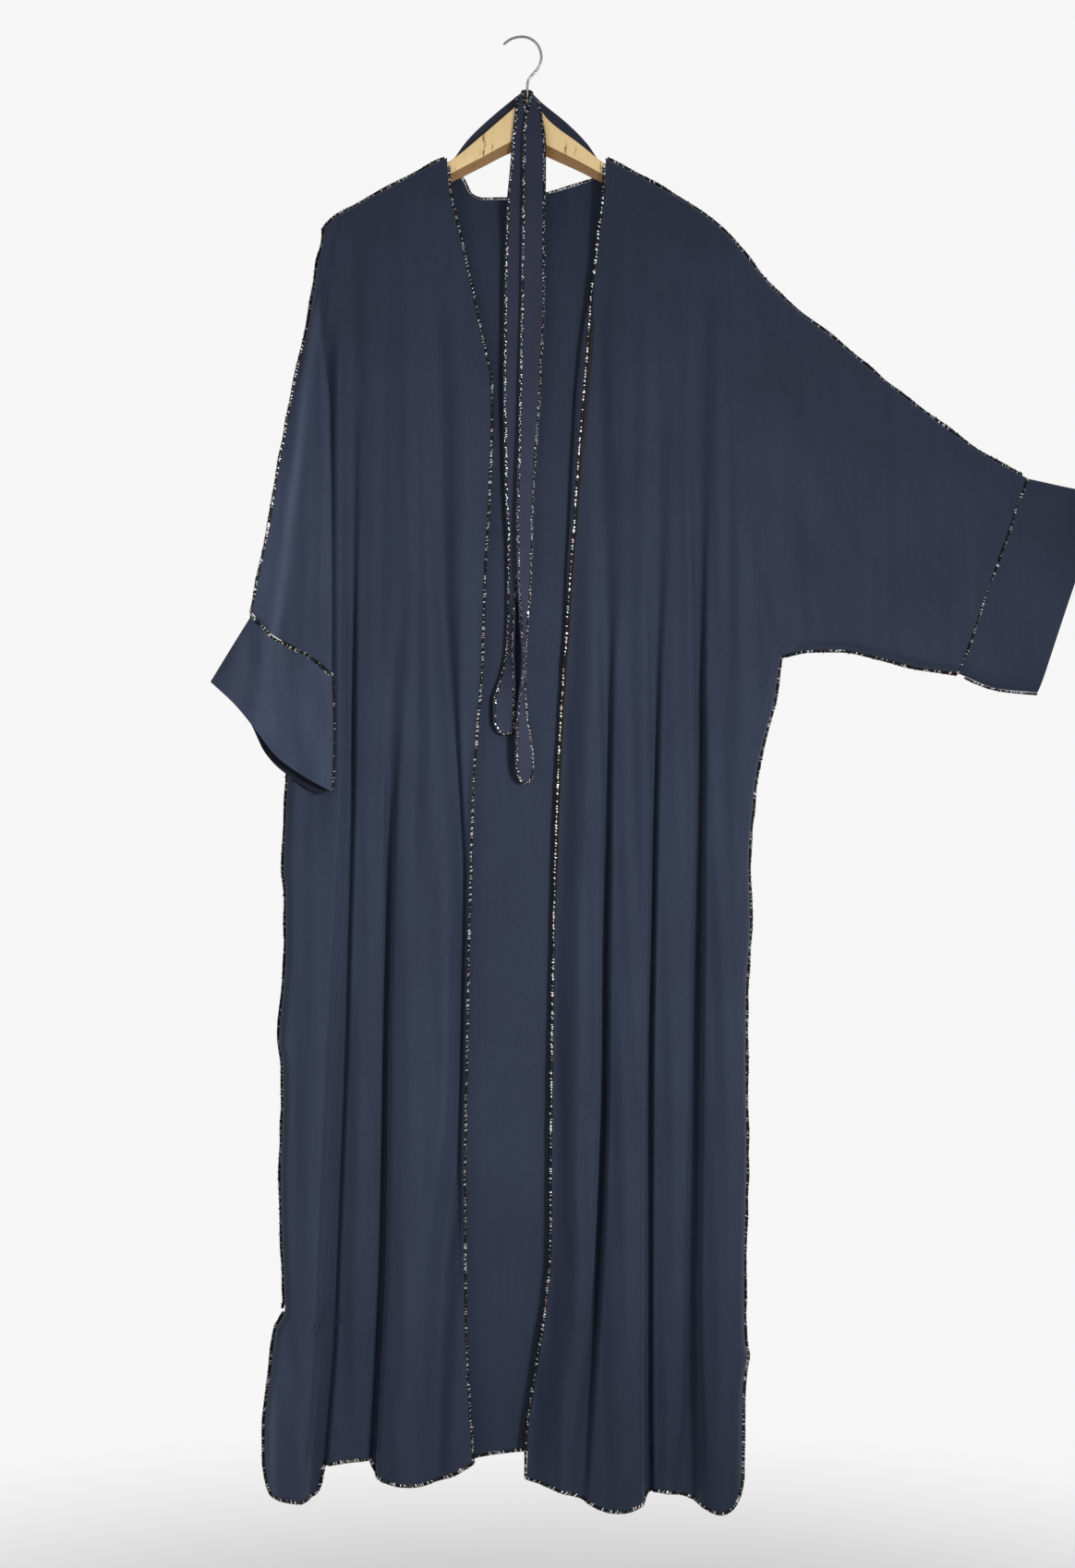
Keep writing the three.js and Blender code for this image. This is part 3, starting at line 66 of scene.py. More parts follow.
# The seam over the shoulders and along each arm.
SHOULDER_RIGHT = table("x z", (-83, -130.5), (-92, -134.5), (-103, -140), (-120, -149), (-148, -164), (-178, -180), (-204, -195), (-218, -208))
SHOULDER_LEFT = table("x z", (91, -130.5), (104, -138), (119, -145.5), (150, -163), (182, -181), (221, -211.5), (276, -275.5), (350, -336.5), (424, -397), (509, -458), (552, -481.5))
NECK = table("x z", (-81.5, -141), (-76, -146), (-68, -150), (-57, -169), (-45, -174), (4, -173), (30, -167), (63, -157), (80, -151), (89.5, -143))
# The cloth's own edges at the front, just inside the edging.
EDGE_RIGHT = table("z x", (-131, -83.5), (-143, -82), (-205, -71.8), (-274, -57), (-336, -44.4), (-372, -36.2), (-405, -34.8), (-435, -35.6), (-504, -38.3), (-570, -42.2),
                   (-649, -44.9), (-690, -46.2), (-755, -51.2), (-821, -55.6), (-908, -58.4), (-1017, -61.2), (-1089, -62.4), (-1154, -63.7), (-1266, -65.2), (-1338, -64.9),
                   (-1397, -64.1), (-1465, -61.6), (-1519, -58.2), (-1560, -55.4))
EDGE_LEFT = table("z x", (-131, 91.5), (-157, 90), (-230, 82.9), (-285, 76.9), (-358, 71.6), (-413, 66.9), (-467, 62.7), (-533, 58.4), (-588, 53.9), (-656, 49.7), (-697, 46.6),
                  (-792, 41.3), (-901, 37.5), (-980, 35.8), (-1053, 34.4), (-1125, 33.3), (-1230, 32.5), (-1327, 31.9), (-1381, 27.8), (-1447, 18.2), (-1497, 10.2), (-1537, 5.4), (-1578, 4.6))
# How far the rolled edge of the left front reaches past its edging.
ROLL_LEFT = table("z w", (-235, 0.2), (-275, 2), (-313, 7.2), (-345, 9.6), (-380, 10.4), (-430, 9), (-500, 7.6), (-560, 6.4), (-610, 4.6), (-655, 3), (-715, 1), (-760, 0.2))
SIDE_RIGHT = table("z x", (-132, -205), (-241, -211), (-322, -224), (-403, -237), (-484, -250), (-565, -261), (-647, -262), (-728, -260), (-800, -258), (-850, -260), (-880, -261.5), (-910, -262.5),
                   (-941, -260), (-1002, -260), (-1032, -261.8), (-1063, -264.5), (-1090, -267), (-1103, -267.2), (-1120, -264), (-1150, -262.8), (-1215, -264.6), (-1245, -265.6), (-1306, -264.4), (-1367, -261.8),
                   (-1396, -260.8), (-1403, -263), (-1412, -269.6), (-1428, -272.6), (-1458, -275.6), (-1489, -279.6), (-1519, -282.4), (-1550, -282.6), (-1580, -281.4))
SIDE_LEFT = table("z x", (-132, 301), (-241, 299), (-322, 297), (-403, 294), (-484, 291), (-565, 288), (-647, 284), (-677, 283), (-697, 280), (-728, 275.6), (-758, 267.6), (-789, 259.6), (-819, 254.6),
                  (-850, 251.6), (-880, 248.8), (-910, 247.7), (-941, 248.6), (-971, 249.4), (-1002, 247.6), (-1032, 245.6), (-1063, 244.7), (-1154, 244.7), (-1215, 245.5), (-1245, 245.5), (-1276, 244.6),
                  (-1367, 242.8), (-1424, 243.2), (-1436, 244.4), (-1444, 246.6), (-1452, 245), (-1462, 243), (-1489, 240.9), (-1580, 239.8))
FORE = table("z y", (-132, 8.4), (-241, 11), (-322, 12), (-403, 12.5), (-484, 13.5), (-565, 15), (-647, 16.5), (-728, 18.4), (-829, 20.6), (-931, 22.6), (-1053, 24.6), (-1174, 26), (-1296, 27.4), (-1398, 28.4), (-1479, 29.2), (-1590, 30))
# How far each front edge stands forward, and over what distance its front swells out from there.
EDGE_FORE = table("z right left", (-132, 8.4, 8.4), (-240, 8.6, 8.6), (-330, 8, 7), (-565, 8.5, 5.6), (-690, 10, 5.2), (-830, 11.5, 5.2), (-1100, 12.5, 5.6), (-1400, 12.5, 7), (-1590, 13, 9.5))
SWELL_RIGHT = table("z reach", (-132, 40), (-565, 34), (-830, 26), (-970, 20), (-1200, 22), (-1300, 46), (-1590, 60))
SWELL_LEFT = table("z reach", (-132, 34), (-565, 34), (-830, 30), (-1200, 30), (-1590, 40))
HEM_RIGHT = table("x z", (-283, -1556), (-280, -1572), (-277, -1583), (-271, -1592), (-258, -1597), (-238, -1599), (-229, -1596), (-224.5, -1588), (-221, -1572), (-218, -1563.5), (-205, -1560.5), (-190, -1558.5), (-170, -1556.5),
                  (-165.5, -1559), (-162.5, -1568), (-155, -1574), (-146.5, -1577.5), (-132, -1580.6), (-110, -1581.6), (-92, -1577.6), (-78, -1573), (-54, -1560))
HEM_LEFT = table("x z", (3, -1577.5), (30, -1583), (46, -1588), (62, -1594), (84, -1605), (96, -1608.6), (110, -1609), (124, -1604.6), (133, -1599.5), (136.5, -1592.6), (146, -1590.6), (160, -1592.6), (175, -1595.6),
                 (200, -1606), (216, -1610.4), (225, -1607.6), (231, -1601), (236.5, -1590), (239.8, -1576))
HEM_BACK = table("x z", (-283, -1568), (-200, -1560), (-110, -1562), (-53, -1556.6), (-28, -1552), (2, -1549.6), (80, -1556), (160, -1562), (240, -1572))
UNDERSEAM = table("x z", (283, -677), (309, -671.5), (344, -670), (390, -678.5), (441, -691), (477, -695.5))
CUFF_SPREAD = table("at topX topZ lowX lowZ", (0, 553.5, -482.5, 478.5, -696), (0.5, 596, -492, 522, -713), (1, 637, -500, 565, -717.5))
# The hanging sleeve, going down from the shoulder's tip.
SLEEVE_HANG = table("at overX foldX underX overY apart across",
                    (0, -218, -210, -203, 0, 0, 0), (0.08, -224, -211, -206, -2, 0.12, 0.02), (0.15, -228, -211.5, -211, -6, 0.42, 0.16), (0.23, -233, -211.5, -217, -11, 0.75, 0.45),
                    (0.32, -240, -211, -225, -17, 1, 0.8), (0.42, -249, -210, -235, -23, 1, 1), (0.53, -257, -209, -247, -28, 1, 1), (0.66, -267, -208, -262, -31, 1, 1),
                    (0.78, -275, -207.5, -247, -31, 1, 1), (0.89, -285, -207.5, -229, -31, 1, 1), (1, -294, -208, -218, -31, 1, 1))
CUFF_SEAM_HANG = table("x z", (-294, -632), (-284, -644), (-274, -654), (-248, -669), (-227, -681), (-208, -697))
CUFF_HANG = table("u seamX seamZ midX midZ endX endZ", (0, -294, -633.5, -317, -671, -339, -707), (0.2, -281, -650, -298, -692, -313, -731), (0.4, -265, -661.5, -278, -712, -289, -760),
                  (0.6, -248, -670.5, -257, -728, -266, -789), (0.8, -228, -682, -232, -745, -237, -810), (1, -208, -699, -206, -762, -208, -826))
HANGER = table("x top face low half", (-212, -206, -213, -217, 3.6), (-204, -199, -214, -219, 5.5), (-178, -183.5, -201, -207, 5.5), (-148, -167.8, -186, -192, 5.5), (-120, -153, -171, -177, 5.5),
               (-83, -136, -151, -159, 5.5), (-43, -104.5, -130, -139, 5.5), (-15, -80.5, -115, -125, 5.5), (-3, -71, -110, -121, 5.5), (5, -66.5, -108, -119.5, 5.5), (13, -71.5, -111, -122, 5.5),
               (30, -91, -119.5, -130, 5.5), (60, -113.5, -134.5, -143.5, 5.5), (92, -138, -152, -159.5, 5.5), (126, -153.5, -170, -176, 5.5), (182, -184.5, -202, -208, 5.5), (206, -202.5, -216, -221, 5.5),
               (218, -212, -219, -223, 3.6))
HOOK = table("x z", (-21.5, -5.5), (-13, 0.6), (-2, 3.2), (8, 1.2), (16.5, -6), (20.5, -18), (18, -29), (12, -37), (6.5, -44), (5, -52), (5, -60), (5, -78))
TAPE = table("x y z half", (-75, 7, -135, 7), (-61, 7, -117, 8), (-38, 7, -95, 8.5), (-14, 7, -75, 8.5), (4, 7.1, -62, 7), (22, 7, -77, 8.5), (49, 7, -99, 8.5), (71, 7, -121, 8), (82, 7, -136, 7))
BELT = table("x y z wx wy wz",
             (-18, -5.5, -763.5, 3.5, 0, 0), (-18.5, -5.5, -760, 9, -0.4, 0.4), (-19.5, -5.6, -750, 12.2, -0.8, 0), (-20, -5.8, -728, 12.4, -1.6, 0), (-16.5, -6.4, -700, 8, -4, 0), (-14, -6.6, -670, 4.5, -4.8, 0),
             (-13, -6.6, -640, 4, -4.8, 0), (-11, -6.2, -600, 6, -3.6, 0), (-8, -6, -540, 9.5, -1.4, 0), (-8, -6, -460, 12.6, -0.4, 0), (-8.5, -6.2, -380, 13, 0, 0), (-7.5, -6.4, -280, 13, 0, 0), (-5, -6.8, -190, 13, 0, 0),
             (-1, -7.6, -120, 11.5, 0, 0), (-1.4, -7.5, -82, 7.2, 0.5, 1.5), (-2.6, -7, -66, 4.8, 1, 3.2), (-2.2, 1.5, -59.5, 2.2, 0.6, 4.4), (5, 3.9, -58.8, 0, 0, 5), (12.2, 1.5, -61.5, -2.2, 0.6, 4.4),
             (12.8, -7.4, -70, -6.4, 1, 3.6), (12.2, -10.6, -86, -9.4, 0.5, 1.5), (12.5, -10.8, -120, -13, 0, 0), (12, -10.8, -190, -13.2, 0, 0), (11.5, -10.6, -280, -13.4, 0, 0), (8.5, -10.6, -380, -12.6, 0, 0),
             (5, -11.2, -460, -10.5, -2, 0), (2.2, -11.8, -540, -9.5, -2.8, 0), (2, -12, -600, -8, -3.8, 0), (1.5, -12, -650, -4, -4.8, 0), (1.5, -11.8, -685, -1.5, -5, 0), (-0.5, -11.4, -730, -5, -4.4, 0),
             (1, -10.6, -770, -9.5, -1.8, 0), (2.5, -10, -800, -10.8, -0.6, 0), (3.5, -9.6, -813, -8, 0, 0), (3.8, -9.6, -817, -3.5, 0, 0))


def fold(name, points, banks, depth):
    """One long fold: (z, x) along it, (z, left, right) how wide its banks are, and (z, depth) down it."""
    return {"name": name, "line": table("z x", *points), "banks": table("z left right", *banks), "depth": table("z d", *depth)}


FOLDS_RIGHT = [
    fold("A", [(-400, -190), (-438, -188.5), (-540, -187.5), (-660, -188), (-726, -188.5), (-835, -189.5), (-926, -193), (-1017, -196.8), (-1125, -200.6), (-1230, -205.2), (-1338, -209.8), (-1429, -213.4), (-1537, -221.6), (-1590, -226)],
         [(-400, 11, 9), (-600, 8, 6), (-830, 7.5, 5.4), (-950, 8.6, 6.4), (-1100, 10, 7.4), (-1590, 10, 8)], [(-330, 0), (-450, 3.8), (-560, 7), (-690, 13), (-830, 18), (-950, 22.5), (-1150, 26), (-1350, 28), (-1590, 30)]),
    fold("B", [(-300, -114), (-400, -113), (-480, -114), (-560, -119), (-690, -138.5), (-799, -142.5), (-890, -144.8), (-980, -146.4), (-1089, -148.8), (-1158, -149.6), (-1338, -152.6), (-1447, -157.4), (-1590, -164.6)],
         [(-600, 12, 12), (-760, 9, 8), (-900, 6.4, 5), (-1100, 4.4, 3.6), (-1590, 5, 4)], [(-300, 0), (-600, 0.8), (-690, 3), (-760, 4.6), (-830, 7), (-950, 11), (-1100, 15), (-1350, 19), (-1590, 20)]),
    fold("C", [(-240, -98), (-285, -95), (-358, -91), (-486, -88.5), (-595, -86.5), (-690, -81.5), (-763, -77), (-817, -73), (-865, -70), (-944, -66), (-1017, -65.4), (-1158, -69), (-1230, -74), (-1300, -83), (-1374, -90), (-1447, -92.4), (-1590, -98)],
         [(-240, 13, 11), (-560, 13, 11), (-690, 11, 9), (-830, 13, 5.6), (-1017, 13, 4.6), (-1200, 12, 5.4), (-1300, 14, 12), (-1590, 16, 14)],
         [(-230, 0), (-340, 4), (-480, 8.6), (-600, 12), (-700, 13.8), (-860, 13.4), (-1000, 12.5), (-1150, 12.5), (-1300, 14), (-1450, 15.5), (-1590, 16)]),
]
FOLDS_LEFT = [
    fold("D", [(-300, 84), (-400, 86), (-480, 88.5), (-558, 90.5), (-660, 91.6), (-799, 92.8), (-908, 92), (-1017, 90.2), (-1154, 89), (-1230, 86.8), (-1356, 81), (-1465, 73), (-1590, 63.6)],
         [(-300, 14, 12), (-560, 13, 12), (-690, 9, 7), (-830, 6.2, 4.4), (-1300, 6, 5), (-1465, 8, 6), (-1590, 15, 7)], [(-300, 0), (-400, 5.4), (-560, 8.6), (-640, 10.4), (-740, 12.8), (-850, 15.4), (-1000, 18.6), (-1200, 21), (-1350, 21), (-1465, 15), (-1590, 9)]),
    fold("E", [(-350, 153), (-522, 147.6), (-600, 145.8), (-660, 145), (-763, 144), (-872, 142), (-980, 140), (-1154, 137), (-1374, 136.2), (-1483, 136), (-1590, 137)],
         [(-360, 14, 12), (-560, 11, 10), (-700, 7, 6), (-850, 5.4, 5), (-1590, 5.6, 5.4)], [(-360, 0), (-470, 3), (-560, 5), (-640, 7.5), (-740, 12), (-850, 15.5), (-1000, 19.6), (-1200, 22.5), (-1350, 24.5), (-1590, 27)]),
    fold("F", [(-230, 195), (-486, 193), (-595, 193.2), (-700, 192.8), (-799, 194), (-908, 193), (-1053, 191.2), (-1266, 188.4), (-1374, 187), (-1436, 187), (-1590, 188)],
         [(-250, 13, 11), (-500, 10, 9), (-600, 7, 7), (-850, 5.6, 5.4), (-1400, 7, 6.4), (-1500, 9, 8), (-1590, 19, 12)], [(-250, 0), (-330, 2.6), (-420, 4.6), (-500, 6.5), (-600, 10), (-700, 13.5), (-850, 17), (-1000, 20), (-1300, 23), (-1440, 20), (-1590, 13)]),
]
# Two folds on each front have the cloth between them set back as well.
RECESS_RIGHT = table("z d", (-600, 0), (-760, 3), (-860, 6.5), (-1000, 10.5), (-1150, 13), (-1350, 15), (-1590, 16))
RECESS_LEFT = table("z d", (-680, 0), (-860, 4.5), (-1000, 7.5), (-1200, 10.5), (-1350, 13.5), (-1590, 16))
FOLDS_BACK = [
    fold("P", [(-300, -205), (-800, -214), (-1590, -232)], [(-300, 10, 18), (-1590, 8, 16)], [(-420, 0), (-800, 3), (-1200, 6), (-1590, 8)]),
    fold("Q", [(-260, -128), (-700, -134), (-1200, -150), (-1590, -158)], [(-300, 16, 7), (-1590, 13, 7)], [(-330, 0), (-700, 3.5), (-1200, 8), (-1590, 9.5)]),
    fold("R", [(-300, -52), (-800, -66), (-1300, -88), (-1590, -92)], [(-300, 9, 15), (-1590, 8, 12)], [(-520, 0), (-900, 3), (-1300, 6.5), (-1590, 8)]),
    fold("S", [(-230, 46), (-700, 38), (-1100, 52), (-1590, 62)], [(-300, 15, 9), (-1590, 12, 8)], [(-300, 0), (-620, 3), (-1100, 7), (-1590, 8)]),
    fold("T", [(-260, 118), (-700, 112), (-1200, 128), (-1590, 132)], [(-300, 7, 17), (-1590, 7, 14)], [(-360, 0), (-800, 4.5), (-1200, 7.5), (-1590, 9.5)]),
    fold("U", [(-280, 186), (-700, 188), (-1100, 196), (-1590, 204)], [(-300, 14, 8), (-1590, 12, 7)], [(-420, 0), (-900, 3.5), (-1300, 6), (-1590, 7)]),
]
# Short soft creases: from, to, half width, depth. A depth under 0 is a ridge.
CREASE = "x1 z1 x2 z2 wide deep"
CREASES_RIGHT = table(CREASE,
                      (-150, -300, -161, -900, 7, 1.2), (-112, -330, -118, -980, 6, 1.1), (-170, -240, -172, -520, 9, -1.1), (-127, -260, -122, -700, 10, -1.3), (-62, -420, -62, -720, 7, -1.2),
                      (-96, -150, -126, -300, 12, 1.1), (-197, -232, -176, -420, 9, 1), (-205, -300, -200, -640, 5, 1.4), (-224, -880, -228, -1420, 13, -1.2), (-246, -1000, -252, -1500, 9, 0.7), (-232, -760, -240, -900, 8, 1.6),
                      (-176, -1050, -184, -1500, 10, -2.6), (-122, -900, -132, -1560, 12, -3), (-106, -1180, -120, -1560, 9, 1.3), (-70, -1130, -86, -1250, 8, 2.4), (-66, -1260, -82, -1330, 7, 2), (-68, -1340, -96, -1450, 8, 1.8),
                      (-74, -1460, -80, -1540, 10, -2), (-140, -1480, -136, -1575, 7, -1.4), (-262, -1410, -244, -1470, 7, 1.6), (-250, -1500, -240, -1590, 8, -2), (-98, -620, -104, -900, 8, -1.6))
CREASES_LEFT = table(CREASE,
                     (120, -330, 121, -980, 7, 1.1), (174, -330, 171, -700, 7, 1.1), (226, -420, 222, -900, 8, 1.7), (78, -260, 72, -520, 8, -1.2), (138, -260, 134, -620, 10, -1.3), (106, -150, 130, -290, 12, 1),
                     (182, -250, 180, -560, 9, -1.2), (213, -290, 214, -620, 8, -1.3), (116, -900, 110, -1570, 13, -3.4), (170, -1000, 164, -1500, 12, -2.6), (218, -900, 222, -1560, 12, -3), (56, -900, 52, -1300, 12, -2.2),
                     (46, -700, 54, -900, 8, 1.2), (22, -1420, 50, -1580, 14, -2.2), (234, -1180, 232, -1420, 7, 1.3), (206, -1440, 208, -1600, 8, -1.6), (158, -1440, 160, -1590, 8, -1.6), (250, -540, 262, -760, 9, 2.4),
                     (262, -600, 274, -672, 7, 1.4), (236, -560, 238, -840, 10, -1.8),
                     (245, -268, 262, -330, 12, 1.6), (262, -330, 306, -446, 15, 2.2), (306, -446, 358, -560, 17, 2.6), (358, -560, 426, -628, 17, 2.6), (346, -356, 438, -446, 20, 2), (300, -300, 372, -420, 17, -1.8),
                     (300, -520, 350, -640, 15, -1.8), (286, -420, 300, -640, 10, 1.6), (420, -420, 470, -560, 20, -1.6), (450, -440, 505, -520, 11, 1), (400, -540, 470, -640, 15, 1.2), (505, -470, 470, -640, 12, -1), (340, -600, 352, -668, 9, 1.2))
CREASES_BACK = table(CREASE,
                     (-168, -330, -176, -900, 11, -2), (-92, -300, -98, -1000, 13, -2.2), (-10, -330, -14, -1200, 15, -2.4), (82, -320, 80, -1000, 13, -2.2), (152, -340, 158, -1100, 12, -2), (222, -420, 224, -1200, 11, -1.8),
                     (-120, -1150, -122, -1560, 9, -2), (28, -1000, 36, -1540, 8, 1.6), (-30, -1150, -40, -1540, 9, 1.8), (96, -1240, 100, -1560, 9, -1.8), (-190, -1200, -196, -1560, 9, -2), (262, -300, 330, -500, 16, 1.8),
                     (330, -500, 410, -640, 16, 1.8), (350, -380, 440, -470, 18, 1.4), (290, -460, 296, -660, 10, 1.4), (250, -560, 262, -740, 9, 1.8), (430, -430, 480, -600, 18, -1.4), (-30, -200, -26, -330, 14, 1), (34, -196, 40, -330, 14, 1))


# ---------------------------------------------------------------- mathematics
def through(t, over, name):
    """A smooth curve through one column of a table over another, with no overshoot."""
    order = np.argsort(t[over])
    x, y = t[over][order], t[name][order]
    h = np.diff(x)
    s = np.diff(y) / h
    m = np.empty(len(x))
    m[0], m[-1] = s[0], s[-1]
    a, b = s[:-1], s[1:]
    both = np.where(np.abs(a + b) < 1e-12, 1.0, a + b)
    m[1:-1] = np.where(a * b <= 0, 0.0, 2 * a * b / both)

    def at(v):
        c = np.clip(np.asarray(v, float), x[0], x[-1])
        i = np.clip(np.searchsorted(x, c, side="right") - 1, 0, len(x) - 2)
        t1 = (c - x[i]) / h[i]
        t2, t3 = t1 * t1, t1 ** 3
        return (2 * t3 - 3 * t2 + 1) * y[i] + (t3 - 2 * t2 + t1) * h[i] * m[i] + (3 * t2 - 2 * t3) * y[i + 1] + (t3 - t2) * h[i] * m[i + 1]
    return at


def along(values, knots, at):
    """Monotone curve along the last axis of `values`, whose columns lie at `knots`."""
    h = np.diff(knots)
    s = np.diff(values, axis=-1) / h
    m = np.empty_like(values)
    m[..., 0], m[..., -1] = s[..., 0], s[..., -1]
    a, b = s[..., :-1], s[..., 1:]
    both = np.where(np.abs(a + b) < 1e-12, 1.0, a + b)
    m[..., 1:-1] = np.where(a * b <= 0, 0.0, 2 * a * b / both)
    i = np.clip(np.searchsorted(knots, at, side="right") - 1, 0, len(knots) - 2)
    t = (at - knots[i]) / h[i]
    t2, t3 = t * t, t ** 3
    return (2 * t3 - 3 * t2 + 1) * values[..., i] + (t3 - 2 * t2 + t) * h[i] * m[..., i] + (3 * t2 - 2 * t3) * values[..., i + 1] + (t3 - t2) * h[i] * m[..., i + 1]


def lerp(a, b, t):
    return a + (b - a) * t


def rounded(d, reach):
    return np.sqrt(np.clip(1 - (1 - np.clip(d / reach, 0, 1)) ** 2, 0, 1))


def smooth(e0, e1, v):
    t = np.clip((v - e0) / (e1 - e0), 0, 1)
    return t * t * (3 - 2 * t)


edge_r, edge_l = through(EDGE_RIGHT, "z", "x"), through(EDGE_LEFT, "z", "x")
side_r, side_l = through(SIDE_RIGHT, "z", "x"), through(SIDE_LEFT, "z", "x")
roll_l, fore = through(ROLL_LEFT, "z", "w"), through(FORE, "z", "y")
edge_fore_r, edge_fore_l = through(EDGE_FORE, "z", "right"), through(EDGE_FORE, "z", "left")
swell_r, swell_l = through(SWELL_RIGHT, "z", "reach"), through(SWELL_LEFT, "z", "reach")
recess_r, recess_l = through(RECESS_RIGHT, "z", "d"), through(RECESS_LEFT, "z", "d")
shoulder_r, shoulder_l, neck = through(SHOULDER_RIGHT, "x", "z"), through(SHOULDER_LEFT, "x", "z"), through(NECK, "x", "z")
hem_r, hem_l, hem_b = through(HEM_RIGHT, "x", "z"), through(HEM_LEFT, "x", "z"), through(HEM_BACK, "x", "z")
underseam, wood_top = through(UNDERSEAM, "x", "z"), through(HANGER, "x", "top")
hang = {k: through(SLEEVE_HANG, "at", k) for k in ("overX", "foldX", "underX", "overY", "apart", "across")}
cuff_seam_hang = through(CUFF_SEAM_HANG, "x", "z")
for f in FOLDS_RIGHT + FOLDS_LEFT + FOLDS_BACK:
    f["x"], f["d"] = through(f["line"], "z", "x"), through(f["depth"], "z", "d")
    f["left"], f["right"] = through(f["banks"], "z", "left"), through(f["banks"], "z", "right")


def ridge_r(x):
    return np.where(x > -83, wood_top(x) + 4, shoulder_r(x))


def ridge_l(x):
    return np.where(x < 91, wood_top(x) + 4, shoulder_l(x))


def folds_at(folds, x, z):
    """Depth of the long folds at (x, z): each drops sharply on one hand and comes up again more slowly on the other."""
    y = 0
    for f in folds:
        s = x - f["x"](z)
        w = np.where(s < 0, f["left"](z), f["right"](z))
        d = f["d"](z)
        power = lerp(3.6, 2.0, lerp(smooth(6.5, 11, w), smooth(10.5, 15, w), smooth(14, 20, d)))
        y = y + d * (np.exp(-(np.abs(s / w) ** power)) + 0.2 * np.where(s > 0, np.exp(-((s / 17) ** 2)) - np.exp(-((s / (0.9 * w)) ** 2)), 0))
    return y


def between(a, b, x, z, soft=4.0):
    """1 in the strip between two folds, 0 outside it."""
    return 1 / (1 + np.exp(-(x - a["x"](z)) / soft)) / (1 + np.exp(-(b["x"](z) - x) / soft))


def creases_at(t, x, z):
    """Depth of the short soft creases at (x, z), fading out at both ends."""
    y = 0
    for x1, z1, x2, z2, wide, deep in zip(t["x1"], t["z1"], t["x2"], t["z2"], t["wide"], t["deep"]):
        dx, dz = x2 - x1, z2 - z1
        u = ((x - x1) * dx + (z - z1) * dz) / (dx * dx + dz * dz)
        c = np.clip(u, 0, 1)
        d = np.hypot(x - x1 - c * dx, z - z1 - c * dz)
        y = y + deep * np.exp(-((d / wide) ** 2)) * (0.35 + 0.65 * np.sin(np.pi * np.clip(u, 0.06, 0.94)) ** 0.6)
    return y


def ripples(x, z, seed, size=1.0):
    """Slow uneven waves of hung crepe, mostly upright, that grow downwards."""
    low = smooth(-180, -1200, z)
    y = 0
    r = np.random.default_rng(seed)
    for k in range(9):
        wave = r.uniform(19, 62)
        lean = r.uniform(-0.05, 0.05)
        y = y + r.uniform(0.25, 0.6) * np.sin(2 * np.pi * (x + lean * z) / wave + r.uniform(0, 6.28) + 1.1 * np.sin(z / r.uniform(150, 420) + r.uniform(0, 6)))
    return y * size * (0.35 + 0.75 * low)


def front_depth(right, seed, x, z):
    """How far a front stands forward: it swells out from its edge, and the folds are set back into it."""
    folds, creases = (FOLDS_RIGHT, CREASES_RIGHT) if right else (FOLDS_LEFT, CREASES_LEFT)
    gone = edge_r(z) - x if right else x - edge_l(z)
    near = smooth(0, swell_r(z) if right else swell_l(z), gone)
    full = fore(z)
    if right:
        # beside the hanging sleeve's folded edge the front stands forward, up to the sleeve's hidden layer
        beside = np.exp(-(((x + 202) / 8.5) ** 2)) * smooth(-290, -370, z) * smooth(-850, -760, z)
        full = lerp(np.minimum(full, lerp(full, 18.5, smooth(-205, -222, x) * smooth(-900, -838, z))), 22.5, beside)
        a, b = FOLDS_RIGHT[0]["x"](z), FOLDS_RIGHT[1]["x"](z)
        recess = recess_r(z) * between(FOLDS_RIGHT[0], FOLDS_RIGHT[1], x - 2.5, z, 2.0) * lerp(0.85, 1.3, np.clip((x - a) / (b - a), 0, 1))
    else:
        a, b = FOLDS_LEFT[1]["x"](z), FOLDS_LEFT[2]["x"](z)
        recess = recess_l(z) * between(FOLDS_LEFT[1], FOLDS_LEFT[2], x - 2.5, z, 2.0) * lerp(0.9, 1.45, np.clip((x - a) / (b - a), 0, 1))
    lip = smooth(0.5, 4.0, gone)
    y = lerp(edge_fore_r(z) if right else edge_fore_l(z), full, near) - recess - folds_at(folds, x, z) * lip - creases_at(creases, x, z) + ripples(x, z, seed, 0.5)
    least = lerp(6.8, 2.4, smooth(-225, -330, z))
    return least + np.logaddexp(0, (y - least) / 1.3) * 1.3


def back_depth(x, z):
    """How far the back stands backward. Between the front edges it hangs forward, right behind them."""
    low = np.clip((-z - 300) / 1250, 0, 1)
    y = 9.2 + 4.2 * np.clip((-z - 150) / 500, 0, 1) + low * (2.6 * np.sin(x / 31 + 0.6) + 1.6 * np.sin(x / 17 + z / 700)) + 3.4 * low
    y = y - folds_at(FOLDS_BACK, x, z) * 0.85 - creases_at(CREASES_BACK, x, z) + ripples(x, z, 31, 0.6)
    y = 3.0 + np.logaddexp(0, (y - 3.0) / 1.6) * 1.6
    seen = smooth(-52, -20, x - edge_r(z)) * smooth(52, 20, x - edge_l(z)) * smooth(-165, -250, z)
    still = 2.5 + 0.35 * np.sin(x / 26 + z / 260) + 0.25 * np.sin(x / 11 - z / 330 + 2) + 0.8 * np.clip((-z - 1100) / 450, 0, 1)
    return lerp(y, still, seen)


